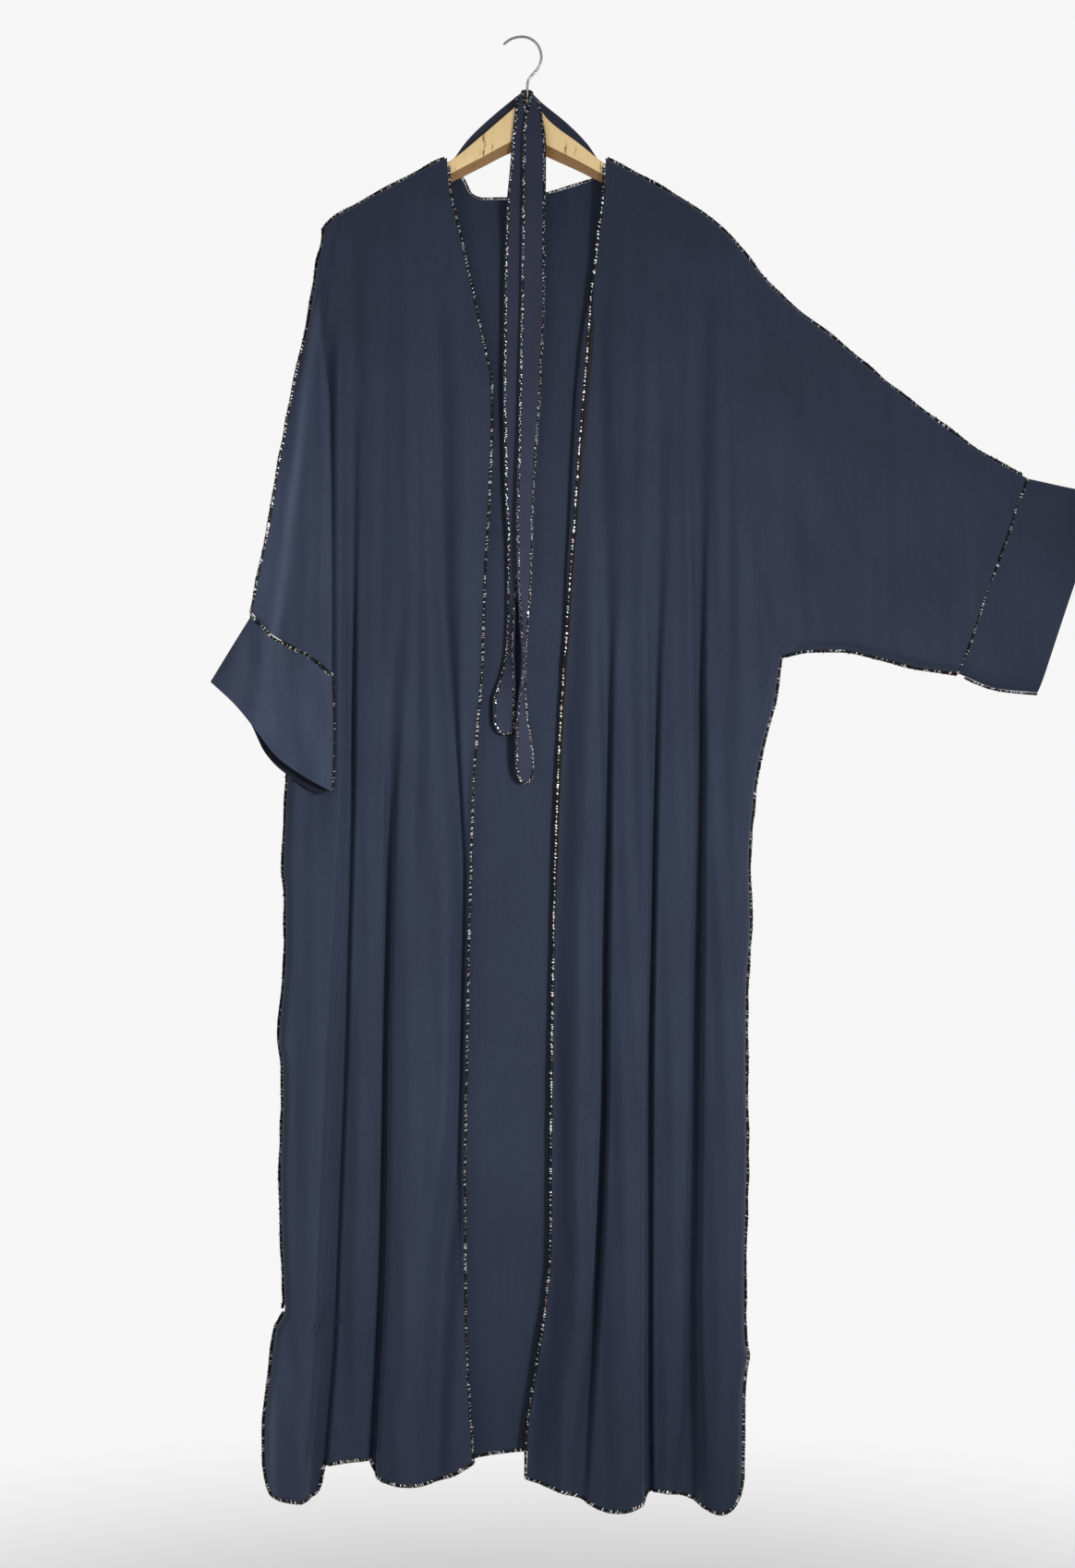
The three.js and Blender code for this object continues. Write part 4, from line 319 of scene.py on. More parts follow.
# ---------------------------------------------------------------- meshes
class Cloth:
    """A thin sheet made of grids of points that share their borders."""

    def __init__(self):
        self.points, self.quads, self.count = [], [], 0

    def grid(self, p, keep=None, turned=False):
        rows, cols = p.shape[:2]
        ids = self.count + np.arange(rows * cols).reshape(rows, cols)
        q = np.stack([ids[:-1, :-1], ids[:-1, 1:], ids[1:, 1:], ids[1:, :-1]], -1)
        if keep is not None:
            q = q[keep]
        q = q.reshape(-1, 4)
        if turned:
            q = q[:, ::-1]
        self.points.append(p.reshape(-1, 3))
        self.quads.append(q)
        self.count += rows * cols
        return self

    def merged(self):
        p, q = np.concatenate(self.points), np.concatenate(self.quads)
        key = np.round(p / 0.02).astype(np.int64)
        _, first, inverse = np.unique(key, axis=0, return_index=True, return_inverse=True)
        q = inverse.reshape(-1)[q]
        p = p[first]
        # A quad that has lost a corner is a triangle, written with its first corner twice.
        flat = np.array([len(set(r)) for r in q.tolist()])
        q3, q = q[flat == 3], q[flat == 4]
        tri = np.array([list(dict.fromkeys(r)) for r in q3.tolist()], int).reshape(-1, 3)
        used = np.zeros(len(p), bool)
        used[q.ravel()] = True
        used[tri.ravel()] = True
        new = np.cumsum(used) - 1
        return p[used], new[q], new[tri]

    def mesh(self, name, thick, **attributes):
        p, q, tri = self.merged()
        n = np.zeros_like(p)
        d = np.cross(p[q[:, 2]] - p[q[:, 0]], p[q[:, 3]] - p[q[:, 1]])
        size = np.linalg.norm(d, axis=1, keepdims=True)
        d = d / np.sqrt(np.maximum(size, 1e-9))
        for k in range(4):
            np.add.at(n, q[:, k], d)
        if len(tri):
            d = np.cross(p[tri[:, 1]] - p[tri[:, 0]], p[tri[:, 2]] - p[tri[:, 0]])
            d = d / np.sqrt(np.maximum(np.linalg.norm(d, axis=1, keepdims=True), 1e-9))
            for k in range(3):
                np.add.at(n, tri[:, k], d)
        n /= np.maximum(np.linalg.norm(n, axis=1, keepdims=True), 1e-9)
        count = len(p)
        both = np.concatenate([p + n * thick / 2, p - n * thick / 2])
        edges = {}
        for face in list(map(tuple, q.tolist())) + list(map(tuple, tri.tolist())):
            for a, b in zip(face, face[1:] + face[:1]):
                if (b, a) in edges:
                    del edges[(b, a)]
                else:
                    edges[(a, b)] = 1
        rim = np.array([(b, a, a + count, b + count) for a, b in edges], int).reshape(-1, 4)
        faces = q.tolist() + tri.tolist() + (q[:, ::-1] + count).tolist() + (tri[:, ::-1] + count).tolist() + rim.tolist()
        return build(name, both, faces, attributes={k: f(both[:, 0], both[:, 1], both[:, 2]) for k, f in attributes.items()})


def build(name, points, faces, sharp=55.0, attributes=None):
    mesh = bpy.data.meshes.new(name)
    mesh.from_pydata((np.asarray(points) * 0.001).tolist(), [], faces)
    mesh.polygons.foreach_set("use_smooth", np.ones(len(mesh.polygons), bool))
    if sharp:
        mesh.set_sharp_from_angle(angle=math.radians(sharp))
    for key, values in (attributes or {}).items():
        layer = mesh.attributes.new(key, "FLOAT", "POINT")
        layer.data.foreach_set("value", np.asarray(values, np.float32))
    mesh.update()
    obj = bpy.data.objects.new(name, mesh)
    bpy.context.scene.collection.objects.link(obj)
    return obj


def piece(obj, node, material):
    obj.data.materials.append(material)
    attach(obj, "root")
    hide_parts(*(BELT_NODES if node == "belt" else (node,)))
    return obj


BELT_NODES = ("belt_right_strip", "belt_loop", "belt_left_strip")


def resample(p, step, jitter=0.0):
    """Points at even steps along a run, and the way along it at each."""
    p = np.asarray(p, float)
    keep = np.concatenate([[True], np.linalg.norm(np.diff(p, axis=0), axis=1) > 1e-6])
    p = p[keep]
    s = np.concatenate([[0], np.cumsum(np.linalg.norm(np.diff(p, axis=0), axis=1))])
    n = max(2, int(round(s[-1] / step)))
    at = np.linspace(0, s[-1], n + 1)
    if jitter:
        at[1:-1] += rng.uniform(-jitter, jitter, n - 1) * step
    q = np.stack([np.interp(at, s, p[:, k]) for k in range(3)], -1)
    e = np.clip(np.stack([at - step * 1.5, at + step * 1.5]), 0, s[-1])
    a = np.stack([np.interp(e[0], s, p[:, k]) for k in range(3)], -1)
    b = np.stack([np.interp(e[1], s, p[:, k]) for k in range(3)], -1)
    t = b - a
    return q, t / np.maximum(np.linalg.norm(t, axis=1, keepdims=True), 1e-9), at, s


def sweep(p, t, u, v, ru, rv, sides=8, closed=False):
    """An oval tube about a run: u and v are the directions across it, ru and rv its half sizes there."""
    a = np.arange(sides) * 2 * np.pi / sides
    ring = p[:, None] + (np.cos(a)[None, :, None] * u[:, None] * np.reshape(ru, (-1, 1, 1))) + (np.sin(a)[None, :, None] * v[:, None] * np.reshape(rv, (-1, 1, 1)))
    n = len(p)
    faces = []
    last = n if closed else n - 1
    for i in range(last):
        i2 = (i + 1) % n
        for j in range(sides):
            j2 = (j + 1) % sides
            faces.append((i * sides + j, i * sides + j2, i2 * sides + j2, i2 * sides + j))
    if not closed:
        faces.append(tuple(range(sides - 1, -1, -1)))
        faces.append(tuple((n - 1) * sides + j for j in range(sides)))
    return ring.reshape(-1, 3), faces


BEAD_RINGS = [(-0.5, 0.95), (0.5, 0.95)]
BEAD_SIDES = 5


def edging(name, p, out, near=0.5, half=1.3, wide=TRIM, closed=False, wander=0.35, step=1.15, fat=1.0, bright=1.0, painted_shade_lap=0.0, scatter=0.0):
    """Glitter edging along a run: a thin dark tape, and over it the slanting wraps of the overlock thread."""
    p, out = np.asarray(p, float), np.asarray(out, float)
    near, wide, painted_shade_lap = (np.broadcast_to(v, (len(p),)) for v in (near, wide, painted_shade_lap))
    if closed:
        p, out, near, wide, painted_shade_lap = (np.concatenate([v, v[:1]]) for v in (p, out, near, wide, painted_shade_lap))
    s = np.concatenate([[0], np.cumsum(np.maximum(np.linalg.norm(np.diff(p, axis=0), axis=1), 1e-6))])

    def out_at(at):
        o = np.stack([np.interp(at, s, out[:, k]) for k in range(3)], -1)
        return o / np.maximum(np.linalg.norm(o, axis=1, keepdims=True), 1e-9)

    def frame_at(step, jitter):
        q, t, at, total = resample(p, step, jitter)
        o = out_at(at * s[-1] / total[-1])
        o = o - t * np.sum(o * t, 1, keepdims=True)
        o /= np.maximum(np.linalg.norm(o, axis=1, keepdims=True), 1e-9)
        return (q, t, o, np.cross(t, o), at, *(np.interp(at * s[-1] / total[-1], s, v) for v in (near, wide, painted_shade_lap)))

    # the tape; where asked, it is drawn wider over the cloth as painted shade for a dark groove beside the edging
    q, t, o, v, at, by, w, over = frame_at(3.5, 0)
    drift = wander * 0.5 * np.sin(at / 9.3 + 1.3 * np.sin(at / 31))
    core = q + o * (by + (w - over) / 2 + drift)[:, None]
    points, faces = sweep(core, t, o, v, (w * 0.43 + over / 2) * fat, np.full(len(q), half * 0.8), 8)
    tint = np.zeros(len(points))
    # the wraps
    q, t, o, v, at, by, w, over = frame_at(step, 0.28)
    n = len(q)
    drift = wander * 0.5 * np.sin(at / 9.3 + 1.3 * np.sin(at / 31)) + rng.normal(0, wander * 0.45, n)
    centre = q + o * (by + w / 2 + drift + rng.uniform(-0.5, 0.5, n) * scatter * w)[:, None] + v * rng.normal(0, 0.12, n)[:, None]
    slant = rng.normal(0.42, 0.22, n)
    a1 = t * np.cos(slant)[:, None] + o * np.sin(slant)[:, None]
    a2 = o * np.cos(slant)[:, None] - t * np.sin(slant)[:, None]
    r1 = step * rng.uniform(0.52, 0.85, n)
    r2 = w / 2 * rng.uniform(0.72, 1.2, n) * fat * (1 - scatter)
    r3 = half * rng.uniform(0.9, 1.18, n)
    ang = np.arange(BEAD_SIDES) * 2 * np.pi / BEAD_SIDES
    beads = [centre - a1 * r1[:, None]]
    for place, size in BEAD_RINGS:
        for a in ang:
            beads.append(centre + a1 * (place * r1)[:, None] + a2 * (np.cos(a) * size * r2)[:, None] + v * (np.sin(a) * size * r3)[:, None])
    beads.append(centre + a1 * r1[:, None])
    beads = np.stack(beads, 1)
    per = beads.shape[1]
    base = []
    for j in range(BEAD_SIDES):
        j2 = (j + 1) % BEAD_SIDES
        base.append((0, 1 + j2, 1 + j))
        for k in range(len(BEAD_RINGS) - 1):
            r = 1 + k * BEAD_SIDES
            base.append((r + j, r + j2, r + BEAD_SIDES + j2, r + BEAD_SIDES + j))
        r = 1 + (len(BEAD_RINGS) - 1) * BEAD_SIDES
        base.append((r + j, r + j2, per - 1))
    start = len(points)
    for b in range(n):
        o0 = start + b * per
        faces.extend([tuple(i + o0 for i in f) for f in base])
    shade = np.repeat(rng.uniform(0.001, 1, n) ** (1 / bright), per)
    points = np.concatenate([points, beads.reshape(-1, 3)])
    return build(name, points, faces, sharp=34.0, attributes={"thread": np.concatenate([tint, shade])})


def outward(p, hand):
    """The way off the cloth for a run in the front plane: square to it, on the chosen hand."""
    p = np.asarray(p, float)
    d = np.gradient(p, axis=0)
    o = np.stack([-d[:, 2] * hand, np.zeros(len(p)), d[:, 0] * hand], -1)
    return o / np.maximum(np.linalg.norm(o, axis=1, keepdims=True), 1e-9)


# ---------------------------------------------------------------- materials
def nodes_of(name):
    m = bpy.data.materials.new(name)
    m.use_nodes = True
    nt = m.node_tree
    return m, nt, nt.nodes["Principled BSDF"]


def add(nt, kind, inputs=None, **props):
    node = nt.nodes.new(kind)
    for k, v in props.items():
        setattr(node, k, v)
    for k, v in (inputs or {}).items():
        node.inputs[k].default_value = v
    return node


def ramp(nt, stops, constant=False):
    node = nt.nodes.new("ShaderNodeValToRGB")
    r = node.color_ramp
    r.interpolation = "CONSTANT" if constant else "LINEAR"
    while len(r.elements) < len(stops):
        r.elements.new(0.5)
    for e, (place, colour) in zip(r.elements, stops):
        e.position = place
        e.color = (*colour, 1)
    return node


def crepe(name, base, strength=1.0):
    """Matt crepe: fine crinkled weave, upright streaks, slow changes of shade, a soft sheen; a painted highlight (a
    brighter copy of its colour) where one mesh attribute asks for it, and painted shade where another does.
    """
    m, nt, bsdf = nodes_of(name)
    link = nt.links.new
    where = add(nt, "ShaderNodeTexCoord").outputs["Object"]
    streak_at = add(nt, "ShaderNodeMapping", {"Scale": (1.0, 0.4, 0.035)})
    link(where, streak_at.inputs["Vector"])
    streak = add(nt, "ShaderNodeTexNoise", {"Scale": 330.0, "Detail": 3.0, "Roughness": 0.6})
    link(streak_at.outputs["Vector"], streak.inputs["Vector"])
    broad = add(nt, "ShaderNodeTexNoise", {"Scale": 7.0, "Detail": 3.0, "Roughness": 0.5})
    link(where, broad.inputs["Vector"])
    crinkle_at = add(nt, "ShaderNodeMapping", {"Scale": (1.0, 1.0, 0.42)})
    link(where, crinkle_at.inputs["Vector"])
    crinkle = add(nt, "ShaderNodeTexNoise", {"Scale": 780.0, "Detail": 2.0, "Roughness": 0.65})
    link(crinkle_at.outputs["Vector"], crinkle.inputs["Vector"])
    warp = add(nt, "ShaderNodeTexWave", {"Scale": 620.0, "Distortion": 1.5, "Detail": 1.0, "Detail Scale": 3.0}, wave_type="BANDS", bands_direction="X")
    link(where, warp.inputs["Vector"])
    weft = add(nt, "ShaderNodeTexWave", {"Scale": 480.0, "Distortion": 1.5, "Detail": 1.0, "Detail Scale": 3.0}, wave_type="BANDS", bands_direction="Z")
    link(where, weft.inputs["Vector"])
    weave = add(nt, "ShaderNodeMath", operation="MULTIPLY")
    link(warp.outputs["Fac"], weave.inputs[0])
    link(weft.outputs["Fac"], weave.inputs[1])
    # colour
    b = np.array(base)
    tone = ramp(nt, [(0.28, tuple(b * 0.86)), (0.52, tuple(b)), (0.78, tuple(b * np.array([1.16, 1.14, 1.1])))])
    link(broad.outputs["Fac"], tone.inputs["Fac"])
    lines = ramp(nt, [(0.3, (0.88, 0.88, 0.89)), (0.7, (1.1, 1.1, 1.09))])
    link(streak.outputs["Fac"], lines.inputs["Fac"])
    # painted highlight: a brighter copy of the crepe's colour, mixed in by the sleeve's and cuff's highlight mask
    painted_sheen_colour = ramp(nt, [(0.28, tuple(b * np.array([2.3, 2.1, 1.86]))), (0.52, tuple(b * np.array([2.6, 2.38, 2.12]))), (0.78, tuple(b * np.array([2.95, 2.7, 2.36])))])
    link(broad.outputs["Fac"], painted_sheen_colour.inputs["Fac"])
    nap = add(nt, "ShaderNodeAttribute", attribute_name="nap")
    mix0 = add(nt, "ShaderNodeMix", {}, data_type="RGBA", blend_type="MIX")
    link(nap.outputs["Fac"], mix0.inputs[0])
    link(tone.outputs["Color"], mix0.inputs[6])
    link(painted_sheen_colour.outputs["Color"], mix0.inputs[7])
    mix1 = add(nt, "ShaderNodeMix", {"Factor": 0.4 * strength}, data_type="RGBA", blend_type="MULTIPLY")
    link(mix0.outputs[2], mix1.inputs[6])
    link(lines.outputs["Color"], mix1.inputs[7])
    threads = ramp(nt, [(0.0, (0.82, 0.83, 0.85)), (1.0, (1.14, 1.14, 1.14))])
    link(weave.outputs[0], threads.inputs["Fac"])
    mix2 = add(nt, "ShaderNodeMix", {"Factor": 0.5}, data_type="RGBA", blend_type="MULTIPLY")
    link(mix1.outputs[2], mix2.inputs[6])
    link(threads.outputs["Color"], mix2.inputs[7])
    # painted shade: the colour darkened where the cuff's shade mask is set
    deep = add(nt, "ShaderNodeAttribute", attribute_name="deep")
    painted_shade_mix = add(nt, "ShaderNodeMix", {}, data_type="RGBA", blend_type="MULTIPLY")
    painted_shade_mix.inputs[7].default_value = (0.28, 0.28, 0.32, 1)
    link(deep.outputs["Fac"], painted_shade_mix.inputs[0])
    link(mix2.outputs[2], painted_shade_mix.inputs[6])
    link(painted_shade_mix.outputs[2], bsdf.inputs["Base Color"])
    rough = add(nt, "ShaderNodeMapRange", {"From Min": 0.3, "From Max": 0.7, "To Min": 0.66, "To Max": 0.84})
    link(crinkle.outputs["Fac"], rough.inputs["Value"])
    link(rough.outputs["Result"], bsdf.inputs["Roughness"])
    # relief
    h1 = add(nt, "ShaderNodeBump", {"Strength": 0.32 * strength, "Distance": 0.0006})
    link(crinkle.outputs["Fac"], h1.inputs["Height"])
    h2 = add(nt, "ShaderNodeBump", {"Strength": 0.12 * strength, "Distance": 0.0006})
    link(streak.outputs["Fac"], h2.inputs["Height"])
    link(h1.outputs["Normal"], h2.inputs["Normal"])
    h3 = add(nt, "ShaderNodeBump", {"Strength": 0.25, "Distance": 0.0003})
    link(weave.outputs[0], h3.inputs["Height"])
    link(h2.outputs["Normal"], h3.inputs["Normal"])
    link(h3.outputs["Normal"], bsdf.inputs["Normal"])
    bsdf.inputs["Sheen Weight"].default_value = 0.16
    bsdf.inputs["Sheen Roughness"].default_value = 0.45
    bsdf.inputs["Sheen Tint"].default_value = (0.62, 0.72, 1.0, 1)
    bsdf.inputs["Specular IOR Level"].default_value = 0.22
    return m


def glitter(name):
    """Overlocked edging: black yarn with silver, gold, rose and green metal thread."""
    m, nt, bsdf = nodes_of(name)
    link = nt.links.new
    thread = add(nt, "ShaderNodeAttribute", attribute_name="thread")
    colour = ramp(nt, [(0.0, (0.006, 0.006, 0.008)), (0.34, (0.012, 0.012, 0.015)), (0.5, (0.035, 0.033, 0.032)), (0.6, (0.13, 0.12, 0.1)), (0.67, (0.46, 0.44, 0.38)), (0.74, (0.82, 0.83, 0.84)), (0.85, (0.98, 0.97, 0.95)),
                       (0.95, (0.72, 0.42, 0.46)), (0.978, (0.34, 0.56, 0.42))], constant=True)
    link(thread.outputs["Fac"], colour.inputs["Fac"])
    metal = ramp(nt, [(0.0, (0, 0, 0)), (0.6, (0.4, 0.4, 0.4)), (0.67, (0.7, 0.7, 0.7))], constant=True)
    link(thread.outputs["Fac"], metal.inputs["Fac"])
    link(metal.outputs["Color"], bsdf.inputs["Metallic"])
    where = add(nt, "ShaderNodeTexCoord").outputs["Object"]
    twist = add(nt, "ShaderNodeTexNoise", {"Scale": 1500.0, "Detail": 2.0})
    link(where, twist.inputs["Vector"])
    shade = ramp(nt, [(0.3, (0.62, 0.62, 0.62)), (0.7, (1.2, 1.2, 1.2))])
    link(twist.outputs["Fac"], shade.inputs["Fac"])
    mix = add(nt, "ShaderNodeMix", {"Factor": 0.8}, data_type="RGBA", blend_type="MULTIPLY")
    link(colour.outputs["Color"], mix.inputs[6])
    link(shade.outputs["Color"], mix.inputs[7])
    link(mix.outputs[2], bsdf.inputs["Base Color"])
    rough = add(nt, "ShaderNodeMapRange", {"From Min": 0.3, "From Max": 0.7, "To Min": 0.34, "To Max": 0.6})
    link(twist.outputs["Fac"], rough.inputs["Value"])
    link(rough.outputs["Result"], bsdf.inputs["Roughness"])
    bsdf.inputs["Specular IOR Level"].default_value = 0.12
    bump = add(nt, "ShaderNodeBump", {"Strength": 0.5, "Distance": 0.0004})
    link(twist.outputs["Fac"], bump.inputs["Height"])
    link(bump.outputs["Normal"], bsdf.inputs["Normal"])
    return m


def wood(name):
    """Varnished pale wood: grain along the arms, a few dark scratches across, and painted shade: browner where it turns
    under.
    """
    m, nt, bsdf = nodes_of(name)
    link = nt.links.new
    grain_at = add(nt, "ShaderNodeAttribute", attribute_name="grain")
    across_at = add(nt, "ShaderNodeAttribute", attribute_name="across")
    join = add(nt, "ShaderNodeCombineXYZ")
    link(grain_at.outputs["Fac"], join.inputs["X"])
    link(across_at.outputs["Fac"], join.inputs["Y"])
    stretch = add(nt, "ShaderNodeMapping", {"Scale": (1.2, 26.0, 1.0)})
    link(join.outputs["Vector"], stretch.inputs["Vector"])
    grain = add(nt, "ShaderNodeTexNoise", {"Scale": 9.0, "Detail": 6.0, "Roughness": 0.62, "Distortion": 0.7})
    link(stretch.outputs["Vector"], grain.inputs["Vector"])
    tone = ramp(nt, [(0.25, (0.64, 0.4, 0.16)), (0.45, (0.85, 0.6, 0.27)), (0.6, (0.93, 0.71, 0.37)), (0.8, (0.96, 0.8, 0.48))])
    link(grain.outputs["Fac"], tone.inputs["Fac"])
    where = add(nt, "ShaderNodeTexCoord").outputs["Object"]
    scratch_at = add(nt, "ShaderNodeMapping", {"Scale": (210.0, 20.0, 26.0), "Rotation": (0, 0.35, 0)})
    link(where, scratch_at.inputs["Vector"])
    scratch = add(nt, "ShaderNodeTexNoise", {"Scale": 1.0, "Detail": 4.0, "Roughness": 0.7, "Distortion": 0.4})
    link(scratch_at.outputs["Vector"], scratch.inputs["Vector"])
    marks = ramp(nt, [(0.0, (1, 1, 1)), (0.615, (1, 1, 1)), (0.66, (0.2, 0.13, 0.08)), (1.0, (0.12, 0.08, 0.05))])
    link(scratch.outputs["Fac"], marks.inputs["Fac"])
    mix = add(nt, "ShaderNodeMix", {"Factor": 0.85}, data_type="RGBA", blend_type="MULTIPLY")
    link(tone.outputs["Color"], mix.inputs[6])
    link(marks.outputs["Color"], mix.inputs[7])
    # painted shade on the underside faces
    underside_painted_shade_at = add(nt, "ShaderNodeAttribute", attribute_name="under")
    under = ramp(nt, [(0.0, (1, 1, 1)), (0.55, (1, 1, 1)), (0.85, (0.36, 0.23, 0.13)), (1.0, (0.3, 0.19, 0.11))])
    link(underside_painted_shade_at.outputs["Fac"], under.inputs["Fac"])
    mix2 = add(nt, "ShaderNodeMix", {"Factor": 0.9}, data_type="RGBA", blend_type="MULTIPLY")
    link(mix.outputs[2], mix2.inputs[6])
    link(under.outputs["Color"], mix2.inputs[7])
    link(mix2.outputs[2], bsdf.inputs["Base Color"])
    rough = add(nt, "ShaderNodeMapRange", {"From Min": 0.3, "From Max": 0.7, "To Min": 0.3, "To Max": 0.5})
    link(grain.outputs["Fac"], rough.inputs["Value"])
    link(rough.outputs["Result"], bsdf.inputs["Roughness"])
    bump = add(nt, "ShaderNodeBump", {"Strength": 0.25, "Distance": 0.0004})
    link(grain.outputs["Fac"], bump.inputs["Height"])
    link(bump.outputs["Normal"], bsdf.inputs["Normal"])
    bsdf.inputs["Coat Weight"].default_value = 0.35
    bsdf.inputs["Coat Roughness"].default_value = 0.2
    return m


def steel(name):
    m, nt, bsdf = nodes_of(name)
    link = nt.links.new
    where = add(nt, "ShaderNodeTexCoord").outputs["Object"]
    drawn = add(nt, "ShaderNodeTexNoise", {"Scale": 420.0, "Detail": 4.0, "Roughness": 0.6})
    link(where, drawn.inputs["Vector"])
    tone = ramp(nt, [(0.3, (0.3, 0.3, 0.31)), (0.6, (0.47, 0.47, 0.48)), (0.8, (0.56, 0.56, 0.57))])
    link(drawn.outputs["Fac"], tone.inputs["Fac"])
    link(tone.outputs["Color"], bsdf.inputs["Base Color"])
    rough = add(nt, "ShaderNodeMapRange", {"From Min": 0.3, "From Max": 0.7, "To Min": 0.18, "To Max": 0.38})
    link(drawn.outputs["Fac"], rough.inputs["Value"])
    link(rough.outputs["Result"], bsdf.inputs["Roughness"])
    bsdf.inputs["Metallic"].default_value = 1.0
    bump = add(nt, "ShaderNodeBump", {"Strength": 0.15, "Distance": 0.0002})
    link(drawn.outputs["Fac"], bump.inputs["Height"])
    link(bump.outputs["Normal"], bsdf.inputs["Normal"])
    return m


CREPE = crepe("crepe", (0.0184, 0.0264, 0.0502))
CREPE_BELT = crepe("crepe_belt", (0.0244, 0.0292, 0.0548), 0.7)
GLITTER = glitter("glitter_edging")
WOOD = wood("varnished_wood")
STEEL = steel("steel_wire")

# ---------------------------------------------------------------- rows
N_UP, N_LOW = 90, 124


def rows_upper():
    s = (np.arange(N_UP + 1) / N_UP) ** 1.55
    k = int(np.argmin(np.abs(s - CROTCH)))
    s[k] = CROTCH
    return s, k


S_UP, K_CROTCH = rows_upper()
S_LOW = np.arange(1, N_LOW + 1) / N_LOW


def body_grid(tops, line, across, level, hem, hem_level):
    """x, z of a body panel: columns `tops` along the seam, rows to `level` and then to the hem."""
    t = np.arange(len(tops))
    z_top = line(tops)
    z = lerp(z_top[None, :], level, S_UP[:, None])
    w = np.clip(S_UP[:, None] / 0.15, 0, 1) ** 0.8
    x = lerp(tops[None, :], across(t[None, :], z), w)
    xs = across(t[None, :], lerp(level, hem_level, S_LOW[:, None]))
    z2 = lerp(level, hem(xs), S_LOW[:, None])
    x2 = across(t[None, :], z2)
    return np.concatenate([x, x2]), np.concatenate([z, z2]), np.broadcast_to(z_top[None, :], (N_UP + 1 + N_LOW, len(tops)))


def open_share(z, slit, gone):
    """Share of the full depth near a side seam: nothing on the seam, and a gap below the slit's top."""
    gap = 0.36 * smooth(slit + 4, slit - 46, z)
    return np.maximum(gap, rounded(gone, SIDE_ROUND))


# ---------------------------------------------------------------- the right front with its hanging sleeve
N_R = 164
T_R = np.linspace(0, 1, N_R + 1)


def right_columns(share, inner):
    """Top places of columns by their share of the way across."""
    return lerp(inner, -197.0, share)


def across_right(t, z):
    return lerp(edge_r(z), side_r(z), T_R[t])


x, z, z_top = body_grid(lerp(-83.0, -197.0, T_R), shoulder_r, across_right, CUFF_LEVEL, hem_r, -1575.0)
full = front_depth(True, 5, x, z)
share = rounded((ridge_r(x) - z) * 0.9, SHOULDER_ROUND)
side = open_share(z, SLIT_TOP_R, x - side_r(z))
upper = np.arange(len(x)) <= N_UP
below = np.arange(len(x)) > K_CROTCH
y = SEAM + (full - SEAM) * np.where(below[:, None], np.maximum(side, 0), share)
# near the crotch the side opens out of the round
ease = smooth(0, 14, np.arange(len(x)) - K_CROTCH)[:, None]
y = np.where(below[:, None], lerp(SEAM + (full - SEAM), y, ease), y)
apart_rows = np.where(np.arange(len(x)) <= K_CROTCH, hang["apart"](np.minimum(np.concatenate([S_UP, np.ones(N_LOW)]), 1)), 1.0)
y_side = lerp(y[:, -1], 19.0, apart_rows)
near_side = smooth(0.82, 1.0, T_R)[None, :]
y = np.where(below[:, None], y, lerp(y, y_side[:, None], near_side * 1.0))
front_right_body = np.stack([x, -y, z], -1)

HANG_TOPS = np.array([-200, -203, -206, -208.5, -210.5, -212.4, -214.2, -216, -218.0])


def hang_columns():
    """Control columns of the hanging sleeve at each row: under, middle, three at the turn, and the visible layer."""
    at = S_UP
    w, over, fx, ux, yo, apart = hang["across"](at), hang["overX"](at), hang["foldX"](at), hang["underX"](at), -hang["overY"](at), hang["apart"](at)
    out = []
    for c, top in enumerate(HANG_TOPS):
        z_top = float(shoulder_r(top))
        if c == 0:
            x, y, z_end = ux + 0.8, np.full_like(at, HANG_BACK - 1), cuff_seam_hang(-216)
        elif c == 1:
            x, y, z_end = lerp(ux, fx, 0.5), np.full_like(at, HANG_BACK), cuff_seam_hang(-214)
        elif c == 2:
            x, y, z_end = fx - 2.6, np.full_like(at, HANG_BACK + 0.8), cuff_seam_hang(-211)
        elif c == 3:
            x, y, z_end = fx, np.full_like(at, (HANG_BACK + HANG_FORE) / 2), cuff_seam_hang(-208)
        elif c == 4:
            x, y, z_end = fx - 2.6, np.full_like(at, HANG_FORE - 0.8), cuff_seam_hang(-211)
        else:
            t = (0.25, 0.5, 0.76, 1.0)[c - 5]
            x, z_end = lerp(fx, over, t), cuff_seam_hang(lerp(-208, -294, t))
            y = yo + SEAM if t == 1 else lerp(np.full_like(at, HANG_FORE), yo, t ** 3)
        z = lerp(z_top, z_end, at)
        lay = rounded((top + 218) * 1.6, 9.0) if c >= 5 else 1.0
        flat = SEAM + (9 - SEAM) * np.minimum(rounded((z_top - z) * 0.9, SHOULDER_ROUND), lay)
        if c == 8:
            y = lerp(np.full_like(y, SEAM), y, smooth(0, 0.03, apart))
        else:
            y = lerp(flat, y, apart)
        go = lerp(np.clip(at / 0.08, 0, 1), 1, w)
        x_flat = lerp(top, lerp(lerp(ux, fx, 0.3), over, np.clip((-197 - top) / 21, 0, 1)), go)
        out.append(np.stack([lerp(x_flat, x, w), -y, z], -1))
    return np.stack(out, 1)


hc = hang_columns()
# from the body's side to the first control column, only above the crotch
body_side = front_right_body[: N_UP + 1, -1]
control = np.concatenate([body_side[:, None], hc], 1)
knots = np.concatenate([[0], np.cumsum([9.0, 24.0, 17.0, 7.0, 7.0, 18.0, 20.0, 22.0, 20.0])])
cells = [5, 9, 8, 5, 5, 9, 10, 10, 10]
fine = np.concatenate([[0.0]] + [np.linspace(knots[k], knots[k + 1], n + 1)[1:] for k, n in enumerate(cells)])
hang_front = np.stack([along(control[..., k], knots, fine) for k in range(3)], -1)
hang_front[:, 0] = body_side
